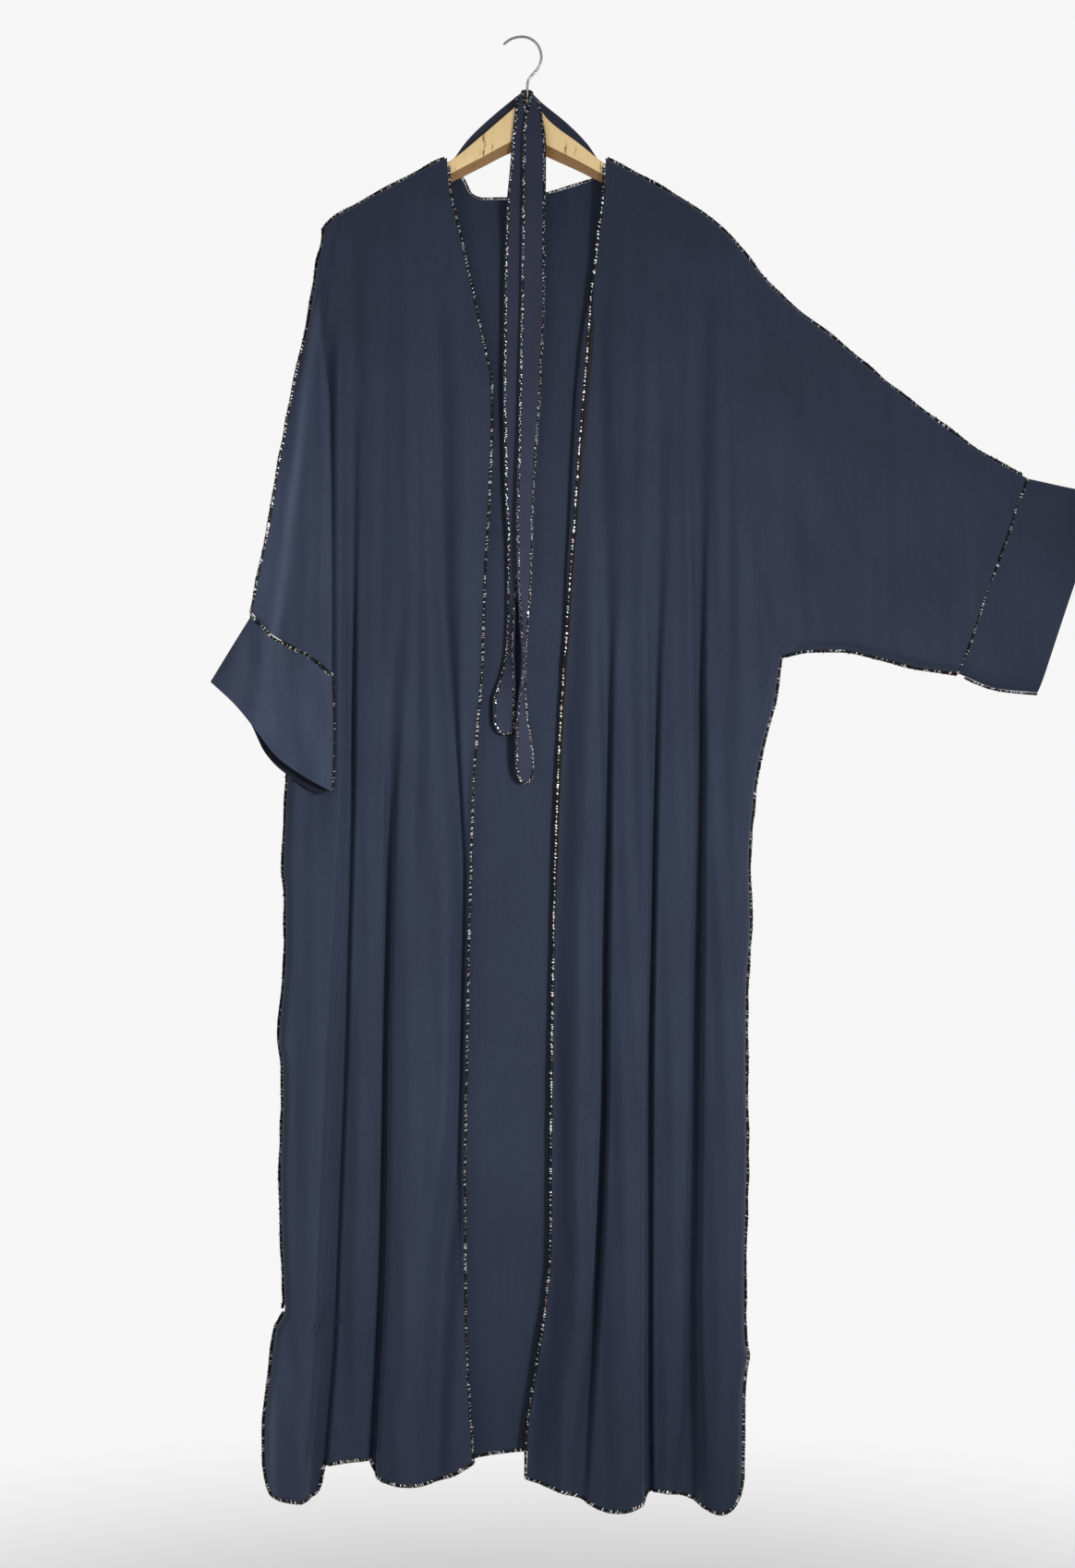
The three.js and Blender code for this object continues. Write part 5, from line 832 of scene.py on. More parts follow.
# soft relief on the sleeve's visible layer: the long sheen ridge and a few shallow hollows
visible = smooth(knots[4], knots[5], fine)[None, :] * (1 - smooth(knots[9] - 7, knots[9], fine))[None, :]
hx, hz = hang_front[..., 0], hang_front[..., 2]
RIDGE = through(table("z x", (-208, -218), (-267, -223), (-340, -231), (-408, -239.6), (-458, -245), (-508, -252.5), (-558, -258.6), (-608, -264.5), (-675, -275)), "z", "x")
SLEEVE_CREASES = table(CREASE, (-222, -300, -228, -520, 5, 0.9), (-236, -380, -250, -640, 5.5, 0.9), (-214, -420, -222, -680, 4.5, -0.8), (-262, -470, -276, -620, 6, 0.8), (-232, -560, -240, -678, 5, -0.8), (-246, -600, -268, -650, 5, 0.9))
relief = 2.6 * np.exp(-(((hx - RIDGE(hz)) / 6.5) ** 2)) * smooth(-215, -330, hz) - creases_at(SLEEVE_CREASES, hx, hz) + ripples(hx, hz, 77, 0.22)
hang_front[..., 1] -= relief * visible * smooth(0.0, 0.25, S_UP)[:, None] * 0.9

front_right = Cloth()
front_right.grid(front_right_body)
keep = np.ones((N_UP, len(fine) - 1), bool)
keep[K_CROTCH:, : cells[0]] = False
front_right.grid(hang_front, keep)

# ---------------------------------------------------------------- the left front with its spread sleeve
N_L, N_S, N_B = 160, 72, 84
T_L = np.linspace(0, 1, N_L + 1)
T_B = np.linspace(0, 1, N_B + 1)


def side_left(z):
    return np.where(z > UNDERARM, lerp(283.0, 292.0, np.clip((z - UNDERARM) / 390, 0, 1)), side_l(z))


def left_share(x, z, is_sleeve, row, front):
    over = ridge_l(x) - z
    share = rounded(over * 0.9, lerp(SHOULDER_ROUND, SIDE_ROUND, np.clip((x - 215) / 40, 0, 1)))
    under = rounded(z - underseam(np.clip(x, 283, 477)), SIDE_ROUND)
    low = (row > N_UP)[:, None]
    if is_sleeve:
        return np.minimum(share, under)
    side = open_share(z, SLIT_TOP_L, side_l(z) - x)
    # above the underarm the round of the seam grows in from its corner
    corner = rounded(np.hypot(np.maximum(x - 283, 0) - np.maximum(283 - x, 0), z - UNDERARM), SIDE_ROUND)
    return np.where(low, side, np.minimum(share, corner))


def left_panel(front):
    if front:
        tops, line = lerp(91.0, 292.0, T_L), shoulder_l
        T = T_L
        across = lambda t, z: lerp(edge_l(z), side_left(z), T[t])
        hem = hem_l
    else:
        T = T_B
        tops = np.interp(T, [0, 0.13, 0.25, 0.31, 0.36, 0.365, 0.45, 0.56, 0.68, 0.79, 0.9, 0.965, 1], [CENTRE, 34, 64, 83, 89.5, 91, 119, 150, 182, 226, 270, 283, 292])
        line = lambda x: np.where(x >= 91, shoulder_l(x), neck(x))
        across = lambda t, z: lerp(CENTRE, side_left(z), T[t])
        hem = hem_b
    x, z, _ = body_grid(tops, line, across, UNDERARM, hem, -1590.0)
    q = np.linspace(0, 1, N_S + 1)
    st, su = lerp(292.0, 552.0, q), lerp(283.0, 477.0, q)
    sx = lerp(st[None, :], su[None, :], S_UP[:, None])
    sz = lerp(shoulder_l(st)[None, :], underseam(su)[None, :], S_UP[:, None])
    fade = ((1 - q) ** 3)[None, :]
    sx = sx + (x[: N_UP + 1, -1] - sx[:, 0])[:, None] * fade
    sz = sz + (z[: N_UP + 1, -1] - sz[:, 0])[:, None] * fade
    out = []
    for xx, zz, sleeve in ((x, z, False), (sx, sz, True)):
        far = np.clip((xx - 250) / 250, 0, 1)
        if front:
            depth = front_depth(False, 9, xx, zz) - far * 4
            depth = depth + far * 0.6 * ripples(zz * 0.8 + xx, xx - zz, 13, 0.9)
        else:
            depth = back_depth(xx, zz) - far * 2
        share = left_share(xx, zz, sleeve, np.arange(len(xx)), front)
        yy = SEAM + (np.maximum(depth, 2.4) - SEAM) * share
        out.append(np.stack([xx, -yy if front else yy, zz], -1))
    out[1][:, 0] = out[0][: N_UP + 1, -1]
    return out


left_body, left_sleeve = left_panel(True)
# the rolled strip beyond the edging
roll = np.linspace(0, 1, 7)[1:]
rz = left_body[:, 0, 2]
w = roll_l(rz)
strip = []
for r in roll[::-1]:
    p = left_body[:, 0].copy()
    p[:, 0] -= w * np.sin(r * 1.75) / 0.985 * 0.98
    p[:, 1] += 0.28 * w * (1 - np.cos(r * 2.6)) + 0.25 * r
    strip.append(p)
left_roll = np.stack(strip + [left_body[:, 0]], 1)

front_left = Cloth()
front_left.grid(left_body)
front_left.grid(left_sleeve)
wide_enough = (w[:-1] > 0.6) & (w[1:] > 0.6)
front_left.grid(left_roll, np.repeat(wide_enough[:, None], left_roll.shape[1] - 1, 1))

# ---------------------------------------------------------------- the back
back_left_body, back_left_sleeve = left_panel(False)
tops = np.interp(T_B, [0, 0.13, 0.25, 0.31, 0.36, 0.365, 0.45, 0.56, 0.68, 0.79, 0.9, 1], [CENTRE, -30, -59, -75, -81.5, -83, -106, -130, -152, -176, -190, -196])
line_r = lambda x: np.where(x <= -83, shoulder_r(x), neck(x))
x, z, _ = body_grid(tops, line_r, lambda t, z: lerp(CENTRE, side_r(z), T_B[t]), CUFF_LEVEL, hem_b, -1575.0)
full = back_depth(x, z)
share = rounded((ridge_r(x) - z) * 0.9, SHOULDER_ROUND)
side = open_share(z, SLIT_TOP_R, x - side_r(z))
y = SEAM + (full - SEAM) * np.where(below[:, None], side, share)
y = np.where(below[:, None], lerp(SEAM + (full - SEAM), y, ease), y)
y_side = lerp(y[:, -1], -3.0, apart_rows)
near_side = smooth(0.80, 1.0, T_B)[None, :]
y = np.where(below[:, None], y, lerp(y, y_side[:, None], near_side))
shift = -2.4 * hang["across"](np.concatenate([S_UP, np.ones(N_LOW)])) * (np.arange(len(x)) <= K_CROTCH)
shift = shift * 1.0
x[:, -1] += shift
back_right_body = np.stack([x, y, z], -1)


def hang_back_columns():
    at = S_UP
    over, ux, yo, apart, w = hang["overX"](at), hang["underX"](at), -hang["overY"](at), hang["apart"](at), hang["across"](at)
    high = np.arange(len(at)) <= K_CROTCH
    out = []
    for top, t in ((-201, 0), (-205, 0.25), (-209.5, 0.5), (-214, 0.76), (-218, 1.0)):
        z_top = float(shoulder_r(top))
        z = lerp(z_top, cuff_seam_hang(lerp(-216, -294, t)), at)
        flat = SEAM + (9 - SEAM) * np.minimum(rounded((z_top - z) * 0.9, SHOULDER_ROUND), rounded((top + 218) * 1.6, 9.0))
        upper_y = lerp(flat, lerp(-6.0, -(yo - 2.4), np.clip(t * 1.25 + 0.1, 0, 1)), apart)
        lower_y = np.full_like(at, -(HANG_BACK - 1 + lerp(0, 3.4, t * t)))
        turn = smooth(0, 10, np.arange(len(at)) - K_CROTCH)
        x = np.where(high, lerp(ux - 2.6, over, t), lerp(ux - 0.8, over, t))
        y = lerp(upper_y, lower_y, turn)
        if t == 1:
            y = np.where(apart > 0, -(yo - SEAM), SEAM)
            y = lerp(np.full_like(at, SEAM), -(yo - SEAM), smooth(0, 0.03, apart))
        x_flat = lerp(top, lerp(lerp(ux, hang["foldX"](at), 0.2) - 1, over, np.clip((-197 - top) / 21, 0, 1)), np.clip(at / 0.08, 0, 1))
        out.append(np.stack([lerp(x_flat, x, w), y, z], -1))
    return np.stack(out, 1)


hb = hang_back_columns()
body_side = back_right_body[: N_UP + 1, -1]
control = np.concatenate([body_side[:, None], hb], 1)
knots_b = np.concatenate([[0], np.cumsum([9.0, 14.0, 14.0, 15.0, 14.0])])
cells_b = [5, 8, 8, 8, 8]
fine_b = np.concatenate([[0.0]] + [np.linspace(knots_b[k], knots_b[k + 1], n + 1)[1:] for k, n in enumerate(cells_b)])
hang_behind = np.stack([along(control[..., k], knots_b, fine_b) for k in range(3)], -1)
hang_behind[:, 0] = body_side
seen = smooth(knots_b[1], knots_b[2], fine_b)[None, :] * (1 - smooth(knots_b[5] - 8, knots_b[5], fine_b))[None, :] * smooth(0.2, 0.5, S_UP)[:, None]
hang_behind[..., 1] += seen * (1.3 * np.sin(hang_behind[..., 0] / 8.5 + hang_behind[..., 2] / 160) + 0.8 * np.sin(hang_behind[..., 2] / 70 + hang_behind[..., 0] / 14)) * 0.8

middle = (back_left_body[:, 0] + back_right_body[:, 0]) / 2
middle[:, 0] = CENTRE
back_left_body[:, 0] = middle
back_right_body[:, 0] = middle
back = Cloth()
back.grid(back_left_body)
back.grid(back_left_sleeve)
back.grid(back_right_body, turned=True)
keep = np.ones((N_UP, len(fine_b) - 1), bool)
keep[K_CROTCH:, : cells_b[0]] = False
back.grid(hang_behind, keep, turned=True)

# ---------------------------------------------------------------- the cuffs
def cuff_round(n_half):
    u = (1 - np.cos(np.linspace(0, np.pi, n_half + 1))) / 2
    return np.concatenate([u, u[::-1][1:-1]]), n_half


def cuff_left_points():
    u, n = cuff_round(56)
    t = np.linspace(0, 1, 31)
    U, T = np.meshgrid(u, t)
    tx, tz, lx, lz = (through(CUFF_SPREAD, "at", k) for k in ("topX", "topZ", "lowX", "lowZ"))
    x = lerp(tx(T), lx(T), U) - 0.9 * (1 - T) ** 4
    z = lerp(tz(T), lz(T), U)
    e = rounded(np.minimum(U, 1 - U) * 220, 22.0)
    front = np.arange(len(u)) < n
    bend = 1.6 * np.exp(-(((x - (596 - (z + 489) * -0.12)) / 14) ** 2)) * np.exp(-(((z + 530) / 60) ** 2))
    wave = 1.3 * np.sin(x / 14 + z / 34) + 0.9 * np.sin(z / 21 - x / 40 + 1) + 2.2 * np.exp(-((((x - 607) + (z + 520) * 0.9) / 12) ** 2)) * smooth(-600, -520, z)
    y = np.where(front[None, :], -(0.9 + (9.2 + 1.5 * T + wave * 0.55 - bend) * e), 0.9 + (8.8 + 1.5 * T - 0.5 * wave) * e)
    k = np.arange(len(u))
    y[:, (k == 0) | (k == n)] = 0
    return np.stack([x, y, z], -1), n


def cuff_right_points():
    u, n = cuff_round(48)
    t = np.linspace(0, 1, 45)
    U, T = np.meshgrid(u, t)
    c = {k: through(CUFF_HANG, "u", k)(U) for k in ("seamX", "midX", "midZ", "endX", "endZ")}
    quad = lambda a, b, d: (1 - T) * (1 - 2 * T) * a + 4 * T * (1 - T) * b + T * (2 * T - 1) * d
    x = quad(c["seamX"], c["midX"], c["endX"])
    z = quad(cuff_seam_hang(c["seamX"]) - 2.0, c["midZ"], c["endZ"])
    e = rounded(np.minimum(U, 1 - U) * 160, 20.0)
    front = np.arange(len(u)) < n
    ridge = 3.4 * np.exp(-(((x - (-279 - (z + 668) * 0.02)) / 9) ** 2)) * smooth(-660, -690, z) * smooth(-790, -740, z)
    hollow = 2.4 * np.exp(-(((x - (-256 - (z + 700) * 0.1)) / 10) ** 2)) + 1.5 * np.exp(-(((x + 300) / 9) ** 2))
    wave = 0.8 * np.sin(x / 9 + z / 50) + 0.5 * np.sin(z / 17 + x / 23)
    y_f = -(31.9 + (6.2 + 3 * T + ridge - hollow + wave * 0.6) * e)
    # behind, the open end stands a little lower at its inner corner, so that a strip of the inside shows, darkened by
    # painted shade
    y_b = -(30.1 - (4.2 + 0.5 * T) * e)
    back_drop = smooth(0.3, 0.5, U) * smooth(1.0, 0.93, U) * T ** 2
    z = z - np.where(front[None, :], 0, 9.0 * back_drop)
    x = x - np.where(front[None, :], 0, 3.0 * back_drop)
    y = np.where(front[None, :], y_f, y_b)
    k = np.arange(len(u))
    y[:, (k == 0) | (k == n)] = -31
    return np.stack([x, y, z], -1), n


def tube(points):
    """A cuff's grid closed round into a ring."""
    c = Cloth()
    c.grid(np.concatenate([points, points[:, :1]], 1))
    return c


cl, n_cl = cuff_left_points()
cr, n_cr = cuff_right_points()

# ---------------------------------------------------------------- ribbons
def ribbon_points(t, across_names, n, m, bow=0.0):
    """A ribbon's middle line and its half width across, at rows along it; m is not used."""
    d = np.concatenate([[0], np.cumsum(np.sqrt(np.diff(t["x"]) ** 2 + np.diff(t["y"]) ** 2 + np.diff(t["z"]) ** 2))])
    at = np.linspace(0, d[-1], n)
    # more rows where the ribbon ends are cut round
    at = np.sort(np.concatenate([at, np.linspace(0, 14, 12), np.linspace(d[-1] - 18, d[-1], 14)]))
    mid = np.stack([along(t[k][None], d, at)[0] for k in ("x", "y", "z")], -1)
    w = np.stack([along(a[None], d, at)[0] for a in across_names], -1)
    return mid, w, at


def ribbon(t, cols, n, m, wave):
    mid, w, at = ribbon_points(t, cols, n, m)
    u = np.linspace(-1, 1, m + 1)
    p = mid[:, None] + w[:, None] * u[None, :, None]
    tangent = np.gradient(mid, axis=0)
    normal = np.cross(tangent, w)
    normal /= np.maximum(np.linalg.norm(normal, axis=1, keepdims=True), 1e-9)
    p = p + normal[:, None] * wave(at, u)[..., None]
    return p, mid, w, normal


belt_points, belt_mid, belt_w, belt_n = ribbon(BELT, [BELT["wx"], BELT["wy"], BELT["wz"]], 420, 10,
                                               lambda at, u: 0.35 * np.sin(at / 47)[:, None] * np.cos(2.2 * u)[None, :] + 0.25 * np.sin(at / 19 + 1)[:, None] * u[None, :])
tape_points, *_ = ribbon(TAPE, [np.zeros(len(TAPE["x"])), np.zeros(len(TAPE["x"])), TAPE["half"]], 90, 8, lambda at, u: 0.3 * np.sin(at / 13)[:, None] * np.cos(1.5 * u)[None, :])

# ---------------------------------------------------------------- the cloth pieces
pieces = {}
pieces["back"] = back.mesh("back_panel", CLOTH)


def nap_sleeve(x, y, z):
    """Painted highlight on the hanging sleeve's crepe: over its outer layer, most of all along its long ridge."""
    on = smooth(-24, -30, y) * smooth(-205, -209, x) * smooth(-205, -330, z)
    along_ridge = np.exp(-(((x - RIDGE(z)) / 6.2) ** 2))
    outside = smooth(2, -8, x - RIDGE(z))
    return on * np.clip(0.18 + 0.82 * along_ridge + 0.42 * outside * smooth(-420, -600, z), 0, 1)


# painted highlight on the front layer of the hanging cuff, strongest in a band down its middle
def nap_cuff(x, y, z):
    on = smooth(-31, -33, y)
    return on * np.clip(0.32 + 0.42 * np.exp(-(((x + 281 + (z + 700) * -0.1) / 7.5) ** 2)) + 0.12 * np.sin(x / 6.5 + z / 60) * np.sin(z / 25), 0, 1)


# the hanging sleeve's outer layer gets painted highlight
pieces["front_right"] = front_right.mesh("front_right_panel", CLOTH, nap=nap_sleeve)
pieces["front_left"] = front_left.mesh("front_left_panel", CLOTH)
def painted_shade_cuff_inside(x, y, z):
    """Painted shade: the inner side of the hanging cuff's rear layer, darkened in colour to stand in for the shade
    there.
    """
    return smooth(-28.4, -27.0, y) * smooth(-670, -700, z)


# the hanging cuff gets painted highlight on its front and painted shade on its rear layer
pieces["cuff_right"] = tube(cr).mesh("cuff_right_tube", CLOTH, nap=nap_cuff, deep=painted_shade_cuff_inside)
pieces["cuff_left"] = tube(cl).mesh("cuff_left_tube", CLOTH)
pieces["belt"] = Cloth().grid(belt_points).mesh("belt_strip", BELT_CLOTH)
pieces["hanging_loops"] = Cloth().grid(tape_points).mesh("hanging_loop_tape", TAPE_CLOTH)
for node, obj in pieces.items():
    piece(obj, node, CREPE_BELT if node in ("belt", "hanging_loops") else CREPE)


def trim(node, obj):
    piece(obj, node, GLITTER)


def front_run(grid, hand, slit):
    """Down the front edge, along the hem and up the slit, with the way off the cloth at each point."""
    rows = len(grid)
    start = int(np.searchsorted(-grid[:, 0, 2], 140))
    top = int(np.searchsorted(-grid[:, -1, 2], -slit))
    down, hem, up = grid[start:, 0], grid[-1, 1:], grid[top: rows - 1, -1][::-1]
    p = np.concatenate([down, hem, up])
    o = np.concatenate([np.tile([-hand, 0, 0], (len(down), 1)), np.tile([0, 0, -1], (len(hem), 1)), np.tile([hand, 0, 0], (len(up), 1))]).astype(float)
    square = outward(p, 1 if hand < 0 else -1)
    # turn the way off smoothly round the corners
    o = 0.25 * o + 0.75 * square * np.sign(np.sum(square * o, 1, keepdims=True) + 1e-9)
    kernel = np.ones(5) / 5
    o = np.stack([np.convolve(np.pad(o[:, k], 2, mode="edge"), kernel, mode="valid") for k in range(3)], -1)
    # broader along the hem and the slit, where it laps further over the cloth
    low = smooth(len(down) - 6, len(down) + 8, np.arange(len(p)))
    return p, o / np.linalg.norm(o, axis=1, keepdims=True), lerp(0.3, -1.1, low), lerp(3.2, 4.8, low)


p, o, near, wide = front_run(front_right_body, -1, SLIT_TOP_R + 4)
trim("edging_front_right", edging("edging_front_right_wraps", p, o, near=near, wide=wide, half=1.25))
p, o, near, wide = front_run(left_body, 1, SLIT_TOP_L + 4)
# down the chest and the belly its dark tape is drawn further over the cloth: painted shade for the groove beside the
# edging
painted_shade_lap = 4.4 * smooth(-250, -330, p[:, 2]) * smooth(-1020, -900, p[:, 2]) * (p[:, 0] < 110)
trim("edging_front_left", edging("edging_front_left_wraps", p, o, near=near, wide=wide, half=1.25, painted_shade_lap=painted_shade_lap))


def back_run():
    rows = len(back_left_body)
    tl = int(np.searchsorted(-back_left_body[:, -1, 2], -SLIT_TOP_L + 2))
    tr = int(np.searchsorted(-back_right_body[:, -1, 2], -SLIT_TOP_R + 2))
    a, b = back_left_body[tl:, -1], back_left_body[-1, 1:-1][::-1]
    c, d = back_right_body[-1, 0:-1], back_right_body[tr:, -1][::-1]
    p = np.concatenate([a, b, c, d])
    o = np.concatenate([np.tile([1, 0, 0], (len(a), 1)), np.tile([0, 0, -1], (len(b) + len(c), 1)), np.tile([-1, 0, 0], (len(d), 1))]).astype(float)
    square = outward(p, -1)
    o = 0.25 * o + 0.75 * square * np.sign(np.sum(square * o, 1, keepdims=True) + 1e-9)
    kernel = np.ones(5) / 5
    o = np.stack([np.convolve(np.pad(o[:, k], 2, mode="edge"), kernel, mode="valid") for k in range(3)], -1)
    return p, o / np.linalg.norm(o, axis=1, keepdims=True)


p, o = back_run()
trim("edging_back_hem", edging("edging_back_hem_wraps", p, o, near=-0.8, wide=4.4, half=1.2))
nx = np.linspace(-75, 83, 90)
k_l = k_r = int(np.searchsorted(T_B, 0.31))
p = np.concatenate([back_right_body[0, : k_r + 1][::-1], back_left_body[0, 1: k_l + 1]])
o = np.tile([0.0, 0, 1], (len(p), 1))
trim("edging_neck", edging("edging_neck_wraps", p, o, near=0.1, half=0.95, wide=2.6))
xs = np.concatenate([np.linspace(93, 221, 60), np.linspace(224, 548, 110)])
p = np.stack([xs, 0.25 * np.sin(xs / 13), shoulder_l(xs) + 0.5 * np.sin(xs / 17) + 0.35 * np.sin(xs / 7.3)], -1)
trim("edging_arm_left", edging("edging_arm_left_wraps", p, outward(p, 1), near=-0.7, wide=4.2, half=1.8, wander=0.8, bright=0.7))
xs = np.linspace(-86, -217.5, 60)
p1 = np.stack([xs, np.zeros(60), shoulder_r(xs) + 0.4 * np.sin(xs / 9)], -1)
fo, ba = hang_front[:, -1], hang_behind[:, -1]
p2 = ((fo + ba) / 2)[2:]
p2 = p2[p2[:, 2] < p1[-1, 2] - 1.5]
p = np.concatenate([p1, p2])
trim("edging_arm_right", edging("edging_arm_right_wraps", p, outward(p, -1), near=-0.7, wide=4.2, half=1.8, wander=0.8, bright=0.7))
a, b = left_body[N_UP:, -1], back_left_body[N_UP:, -1]
k = int(np.searchsorted(-a[:, 2], -SLIT_TOP_L))
sleeve_under = (left_sleeve[-1] + back_left_sleeve[-1]) / 2
p = np.concatenate([((a + b) / 2)[: k + 1][::-1], sleeve_under[1:]])
trim("edging_side_left", edging("edging_side_left_wraps", p, outward(p, -1), near=-0.6, wide=4.2, half=1.8, wander=0.8, bright=0.7))
a, b = front_right_body[K_CROTCH + 10:, -1], back_right_body[K_CROTCH + 10:, -1]
k = int(np.searchsorted(-a[:, 2], -SLIT_TOP_R))
p = ((a + b) / 2)[: k + 1]
trim("edging_side_right", edging("edging_side_right_wraps", p, outward(p, -1), near=-0.6, wide=4.0, half=1.8, wander=0.8, bright=0.7))


def cuff_seam(points, down):
    """Round the seam of a cuff, standing proud of the cloth."""
    ring = points[0]
    o = ring - ring.mean(0)
    along_ring = np.roll(ring, -1, 0) - np.roll(ring, 1, 0)
    fall = points[2] - points[0]
    off = np.cross(along_ring, fall)
    off /= np.maximum(np.linalg.norm(off, axis=1, keepdims=True), 1e-9)
    off *= np.sign(np.sum(off * o, 1, keepdims=True) + 1e-9)
    fall /= np.linalg.norm(fall, axis=1, keepdims=True)
    k = np.arange(len(ring))
    return ring + fall * (down + 0.9 * np.sin(k / 2.9) + 0.5 * np.sin(k / 1.3))[:, None] * 1.0, off


p, o = cuff_seam(cr, 0.6)
trim("edging_cuff_seam_right", edging("edging_cuff_seam_right_wraps", p, o, near=-0.9, half=1.7, wide=3.4, closed=True, wander=0.5, bright=1.7))
p, o = cuff_seam(cl, 0.4)
trim("edging_cuff_seam_left", edging("edging_cuff_seam_left_wraps", p, o, near=-0.9, half=1.5, wide=2.5, closed=True, wander=0.4))
p = cr[3:, n_cr]
trim("edging_cuff_right", edging("edging_cuff_right_wraps", p, outward(p, 1), near=0.3, half=1.5, wide=2.6, bright=0.45))
p = cl[3:, n_cl]
trim("edging_cuff_left", edging("edging_cuff_left_wraps", p, outward(p, -1), near=0.5, half=1.5, wide=3.0))

# the belt's own edging, round its whole outline
size = np.linalg.norm(belt_w, axis=1, keepdims=True)
unit = belt_w / np.maximum(size, 1e-9)
inset = np.clip((size - 1.6) / np.maximum(size, 1e-9), 0.3, 1)
one, two = belt_mid + belt_w * inset, belt_mid - belt_w * inset
belt_run = np.concatenate([one, two[::-1]])
belt_out = np.concatenate([unit, -unit[::-1]])
ends = np.linalg.norm(np.roll(belt_run, -1, 0) - np.roll(belt_run, 1, 0), axis=1)
belt_edging = edging("belt_edging_wraps", belt_run, belt_out, near=-2.5, half=1.4, wide=4.4, closed=True, wander=0.2, step=0.9, scatter=0.4, bright=1.5)
belt_edging.data.materials.append(GLITTER)
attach(belt_edging, "root")

# ---------------------------------------------------------------- hanger and hook
def wood_mesh():
    xs = np.unique(np.concatenate([np.linspace(-212, 218, 130), np.linspace(-20, 30, 40)]))
    c = {k: through(HANGER, "x", k)(xs) for k in ("top", "face", "low", "half")}
    rings, grain, across, under = [], [], [], []
    for i, x0 in enumerate(xs):
        h, top, face, low = c["half"][i], c["top"][i], c["face"][i], c["low"][i]
        arc = [(-h + 2.4 * (1 - math.cos(a)), top - 2.4 * (1 - math.sin(a))) for a in np.linspace(0, math.pi / 2, 5)]
        arc2 = [(h - 2.4 * (1 - math.cos(a)), top - 2.4 * (1 - math.sin(a))) for a in np.linspace(math.pi / 2, 0, 5)]
        ring = [(-h, face + 1.2), (-h, lerp(face, top, 0.45))] + arc + arc2 + [(h, low + 3.0), (h - 0.9, low + 0.8), (h - 3, low), (h - 5.2, low + 0.1), (-h + 1.1, face - 0.4), (-h + 0.3, face + 0.3)]
        rings.append([(x0, y, z) for y, z in ring])
        for k, (y, z) in enumerate(ring):
            grain.append(x0 * 0.02)
            across.append((z - low) / 40 + y * 0.02)
            # marks the underside for the wood's painted shade
            under.append(1.0 if k >= len(ring) - 4 else (0.5 if k == len(ring) - 1 else 0.0))
    m = len(rings[0])
    pts = np.array(rings).reshape(-1, 3)
    faces = []
    for i in range(len(xs) - 1):
        for j in range(m):
            j2 = (j + 1) % m
            faces.append((i * m + j, i * m + j2, (i + 1) * m + j2, (i + 1) * m + j))
    faces.append(tuple(range(m - 1, -1, -1)))
    faces.append(tuple((len(xs) - 1) * m + j for j in range(m)))
    return build("hanger_wood", pts, faces, sharp=50, attributes={"grain": grain, "across": across, "under": under})


obj = wood_mesh()
piece(obj, "hanger", WOOD)


def hook_mesh():
    p = np.stack([HOOK["x"], np.zeros(len(HOOK["x"])), HOOK["z"]], -1)
    # a Catmull-Rom curve through the points
    ext = np.concatenate([[2 * p[0] - p[1]], p, [2 * p[-1] - p[-2]]])
    out = []
    for i in range(len(p) - 1):
        p0, p1, p2, p3 = ext[i: i + 4]
        for t in np.linspace(0, 1, 12, endpoint=i == len(p) - 2):
            out.append(0.5 * (2 * p1 + (p2 - p0) * t + (2 * p0 - 5 * p1 + 4 * p2 - p3) * t * t + (3 * p1 - p0 - 3 * p2 + p3) * t ** 3))
    out = np.array(out)
    t = np.gradient(out, axis=0)
    t /= np.linalg.norm(t, axis=1, keepdims=True)
    v = np.tile([0.0, 1, 0], (len(out), 1))
    u = np.cross(t, v)
    r = np.full(len(out), 1.45)
    # the free tip is ground round
    r[:4] = [0.55, 1.05, 1.3, 1.42]
    pts, faces = sweep(out, t, u, v, r, r, 16)
    return build("hook_wire", pts, faces, sharp=60)


piece(hook_mesh(), "hook", STEEL)


# ---------------------------------------------------------------- floor, light, camera
def floor():
    n = 64
    pts, faces = [(4.0, 0.0, -1900.0)], []
    for r in (500, 1000, 1500, 2000, 2600):
        for k in range(n):
            a = 2 * math.pi * k / n
            pts.append((4 + r * math.cos(a), r * math.sin(a), -1900.0))
    for k in range(n):
        faces.append((0, 1 + k, 1 + (k + 1) % n))
    for ring in range(4):
        for k in range(n):
            a, b = 1 + ring * n + k, 1 + ring * n + (k + 1) % n
            faces.append((a, a + n, b + n, b))
    obj = build("floor", pts, faces, sharp=None)
    m, nt, bsdf = nodes_of("pale_floor")
    where = add(nt, "ShaderNodeTexCoord").outputs["Object"]
    radius = add(nt, "ShaderNodeVectorMath", operation="LENGTH")
    flat = add(nt, "ShaderNodeMapping", {"Scale": (1, 1, 0)})
    nt.links.new(where, flat.inputs["Vector"])
    nt.links.new(flat.outputs["Vector"], radius.inputs[0])
    fade = add(nt, "ShaderNodeMapRange", {"From Min": 0.4, "From Max": 1.7, "To Min": 1.0, "To Max": 0.0}, interpolation_type="SMOOTHSTEP")
    nt.links.new(radius.outputs["Value"], fade.inputs["Value"])
    nt.links.new(fade.outputs["Result"], bsdf.inputs["Alpha"])
    mottle = add(nt, "ShaderNodeTexNoise", {"Scale": 3.0, "Detail": 4.0})
    tone = ramp(nt, [(0.3, (0.9, 0.9, 0.895)), (0.7, (0.94, 0.94, 0.935))])
    nt.links.new(where, mottle.inputs["Vector"])
    nt.links.new(mottle.outputs["Fac"], tone.inputs["Fac"])
    nt.links.new(tone.outputs["Color"], bsdf.inputs["Base Color"])
    bsdf.inputs["Roughness"].default_value = 0.8
    obj.data.materials.append(m)
    return obj


floor()

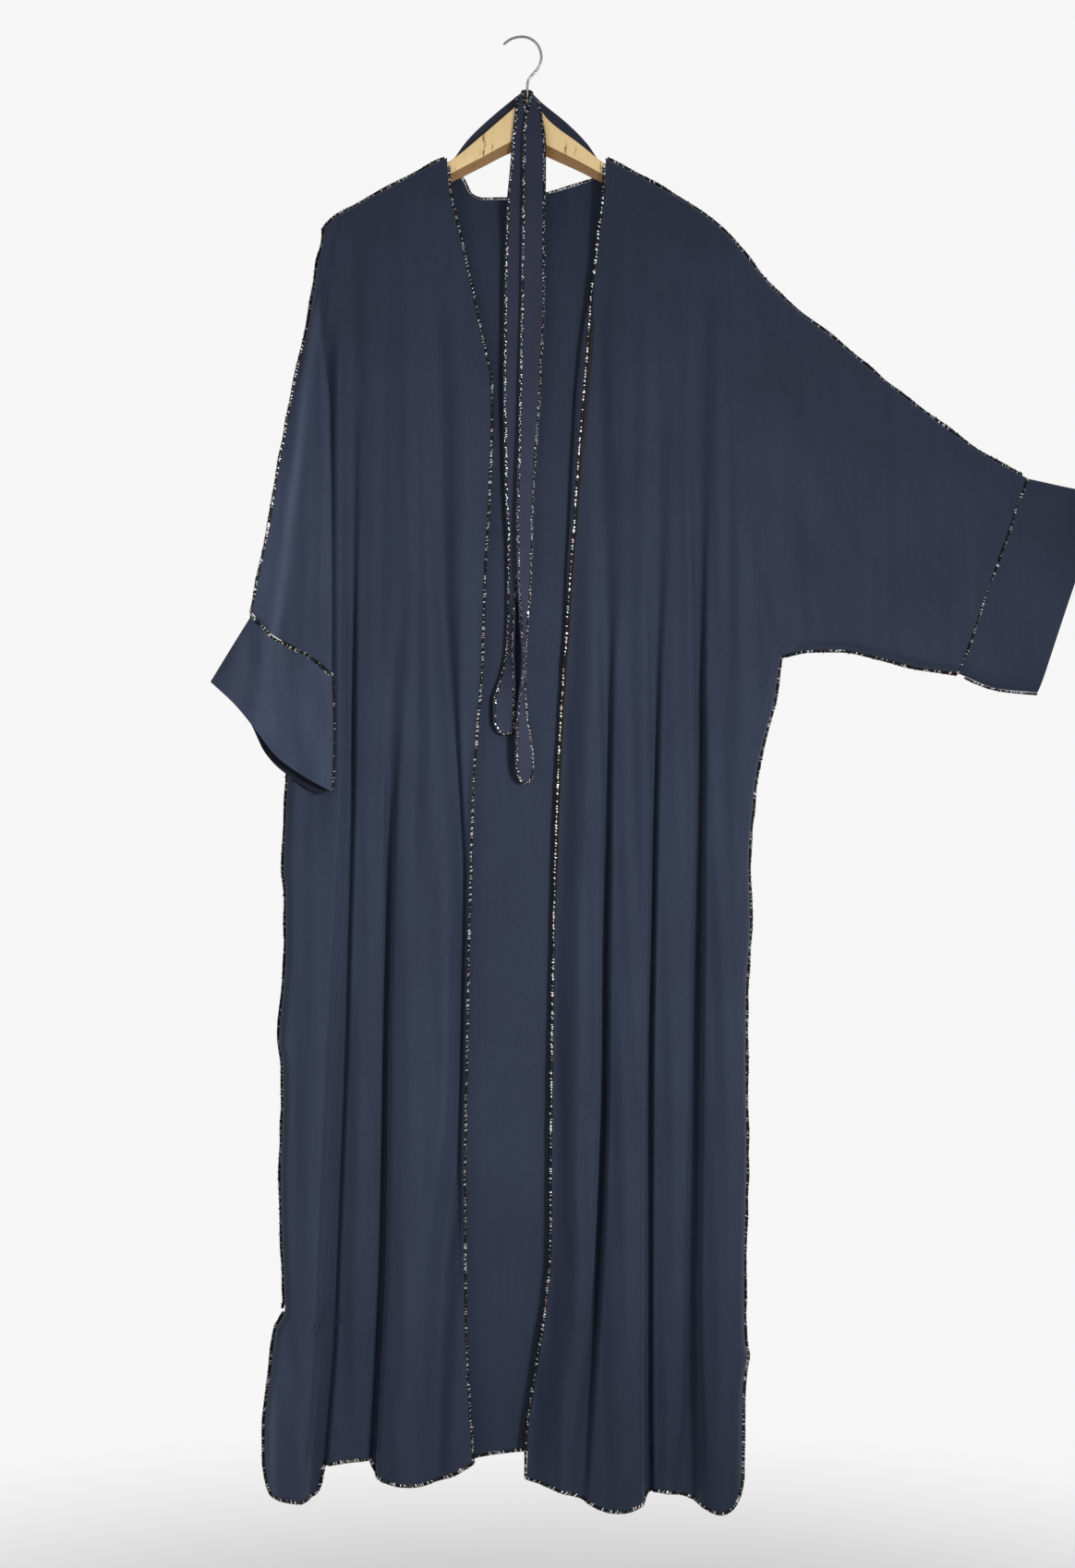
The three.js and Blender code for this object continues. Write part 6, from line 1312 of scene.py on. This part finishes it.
scene = bpy.context.scene
world = bpy.data.worlds.new("studio")
scene.world = world
world.use_nodes = True
wn = world.node_tree
background = wn.nodes["Background"]
background.inputs["Color"].default_value = (0.985, 0.985, 1.0, 1)
background.inputs["Strength"].default_value = 0.455
seen_by_camera = wn.nodes.new("ShaderNodeBackground")
seen_by_camera.inputs["Color"].default_value = (0.925, 0.925, 0.925, 1)
path = wn.nodes.new("ShaderNodeLightPath")
chosen = wn.nodes.new("ShaderNodeMixShader")
wn.links.new(path.outputs["Is Camera Ray"], chosen.inputs["Fac"])
wn.links.new(background.outputs[0], chosen.inputs[1])
wn.links.new(seen_by_camera.outputs[0], chosen.inputs[2])
wn.links.new(chosen.outputs[0], wn.nodes["World Output"].inputs["Surface"])


def area_light(name, place, target, size, power, colour=(1, 1, 1)):
    data = bpy.data.lights.new(name, "AREA")
    data.shape = "SQUARE"
    data.size = size
    data.energy = power
    data.color = colour
    obj = bpy.data.objects.new(name, data)
    obj.location = place
    d = np.array(target) - np.array(place)
    from mathutils import Vector
    obj.rotation_mode = "QUATERNION"
    obj.rotation_quaternion = Vector(d.tolist()).to_track_quat("-Z", "Y")
    scene.collection.objects.link(obj)


area_light("key", (3.2, -4.4, -0.3), (0.0, 0.0, -0.85), 2.6, 38, (1.0, 0.99, 0.97))
area_light("fill", (-2.5, -2.8, -0.7), (-0.1, 0.0, -0.9), 2.2, 15, (0.96, 0.98, 1.0))
area_light("behind", (0.6, 3.0, 0.8), (0.1, 0.0, -0.8), 2.4, 24, (1.0, 1.0, 1.0))
# a soft pool of light on the middle of the garment
pool = bpy.data.lights.new("pool", "SPOT")
pool.energy, pool.spot_size, pool.spot_blend, pool.shadow_soft_size = 780, math.radians(23), 1.0, 0.4
lamp = bpy.data.objects.new("pool", pool)
lamp.location = (2.45, -4.0, -0.6)
from mathutils import Vector
lamp.rotation_mode = "QUATERNION"
lamp.rotation_quaternion = (Vector((-0.10, 0.0, -0.90)) - lamp.location).to_track_quat("-Z", "Y")
scene.collection.objects.link(lamp)

data = bpy.data.cameras.new("camera")
camera = bpy.data.objects.new("camera", data)
camera.location = (0.0162, -3.0, -0.8181)
camera.rotation_euler = (math.pi / 2, 0, 0)
data.sensor_width = 36.0
data.lens = 36.0 * 3.0 / (1698 * 1.015 * 0.001)
data.clip_start, data.clip_end = 0.1, 50
scene.collection.objects.link(camera)
scene.camera = camera
scene.view_settings.view_transform = "Standard"
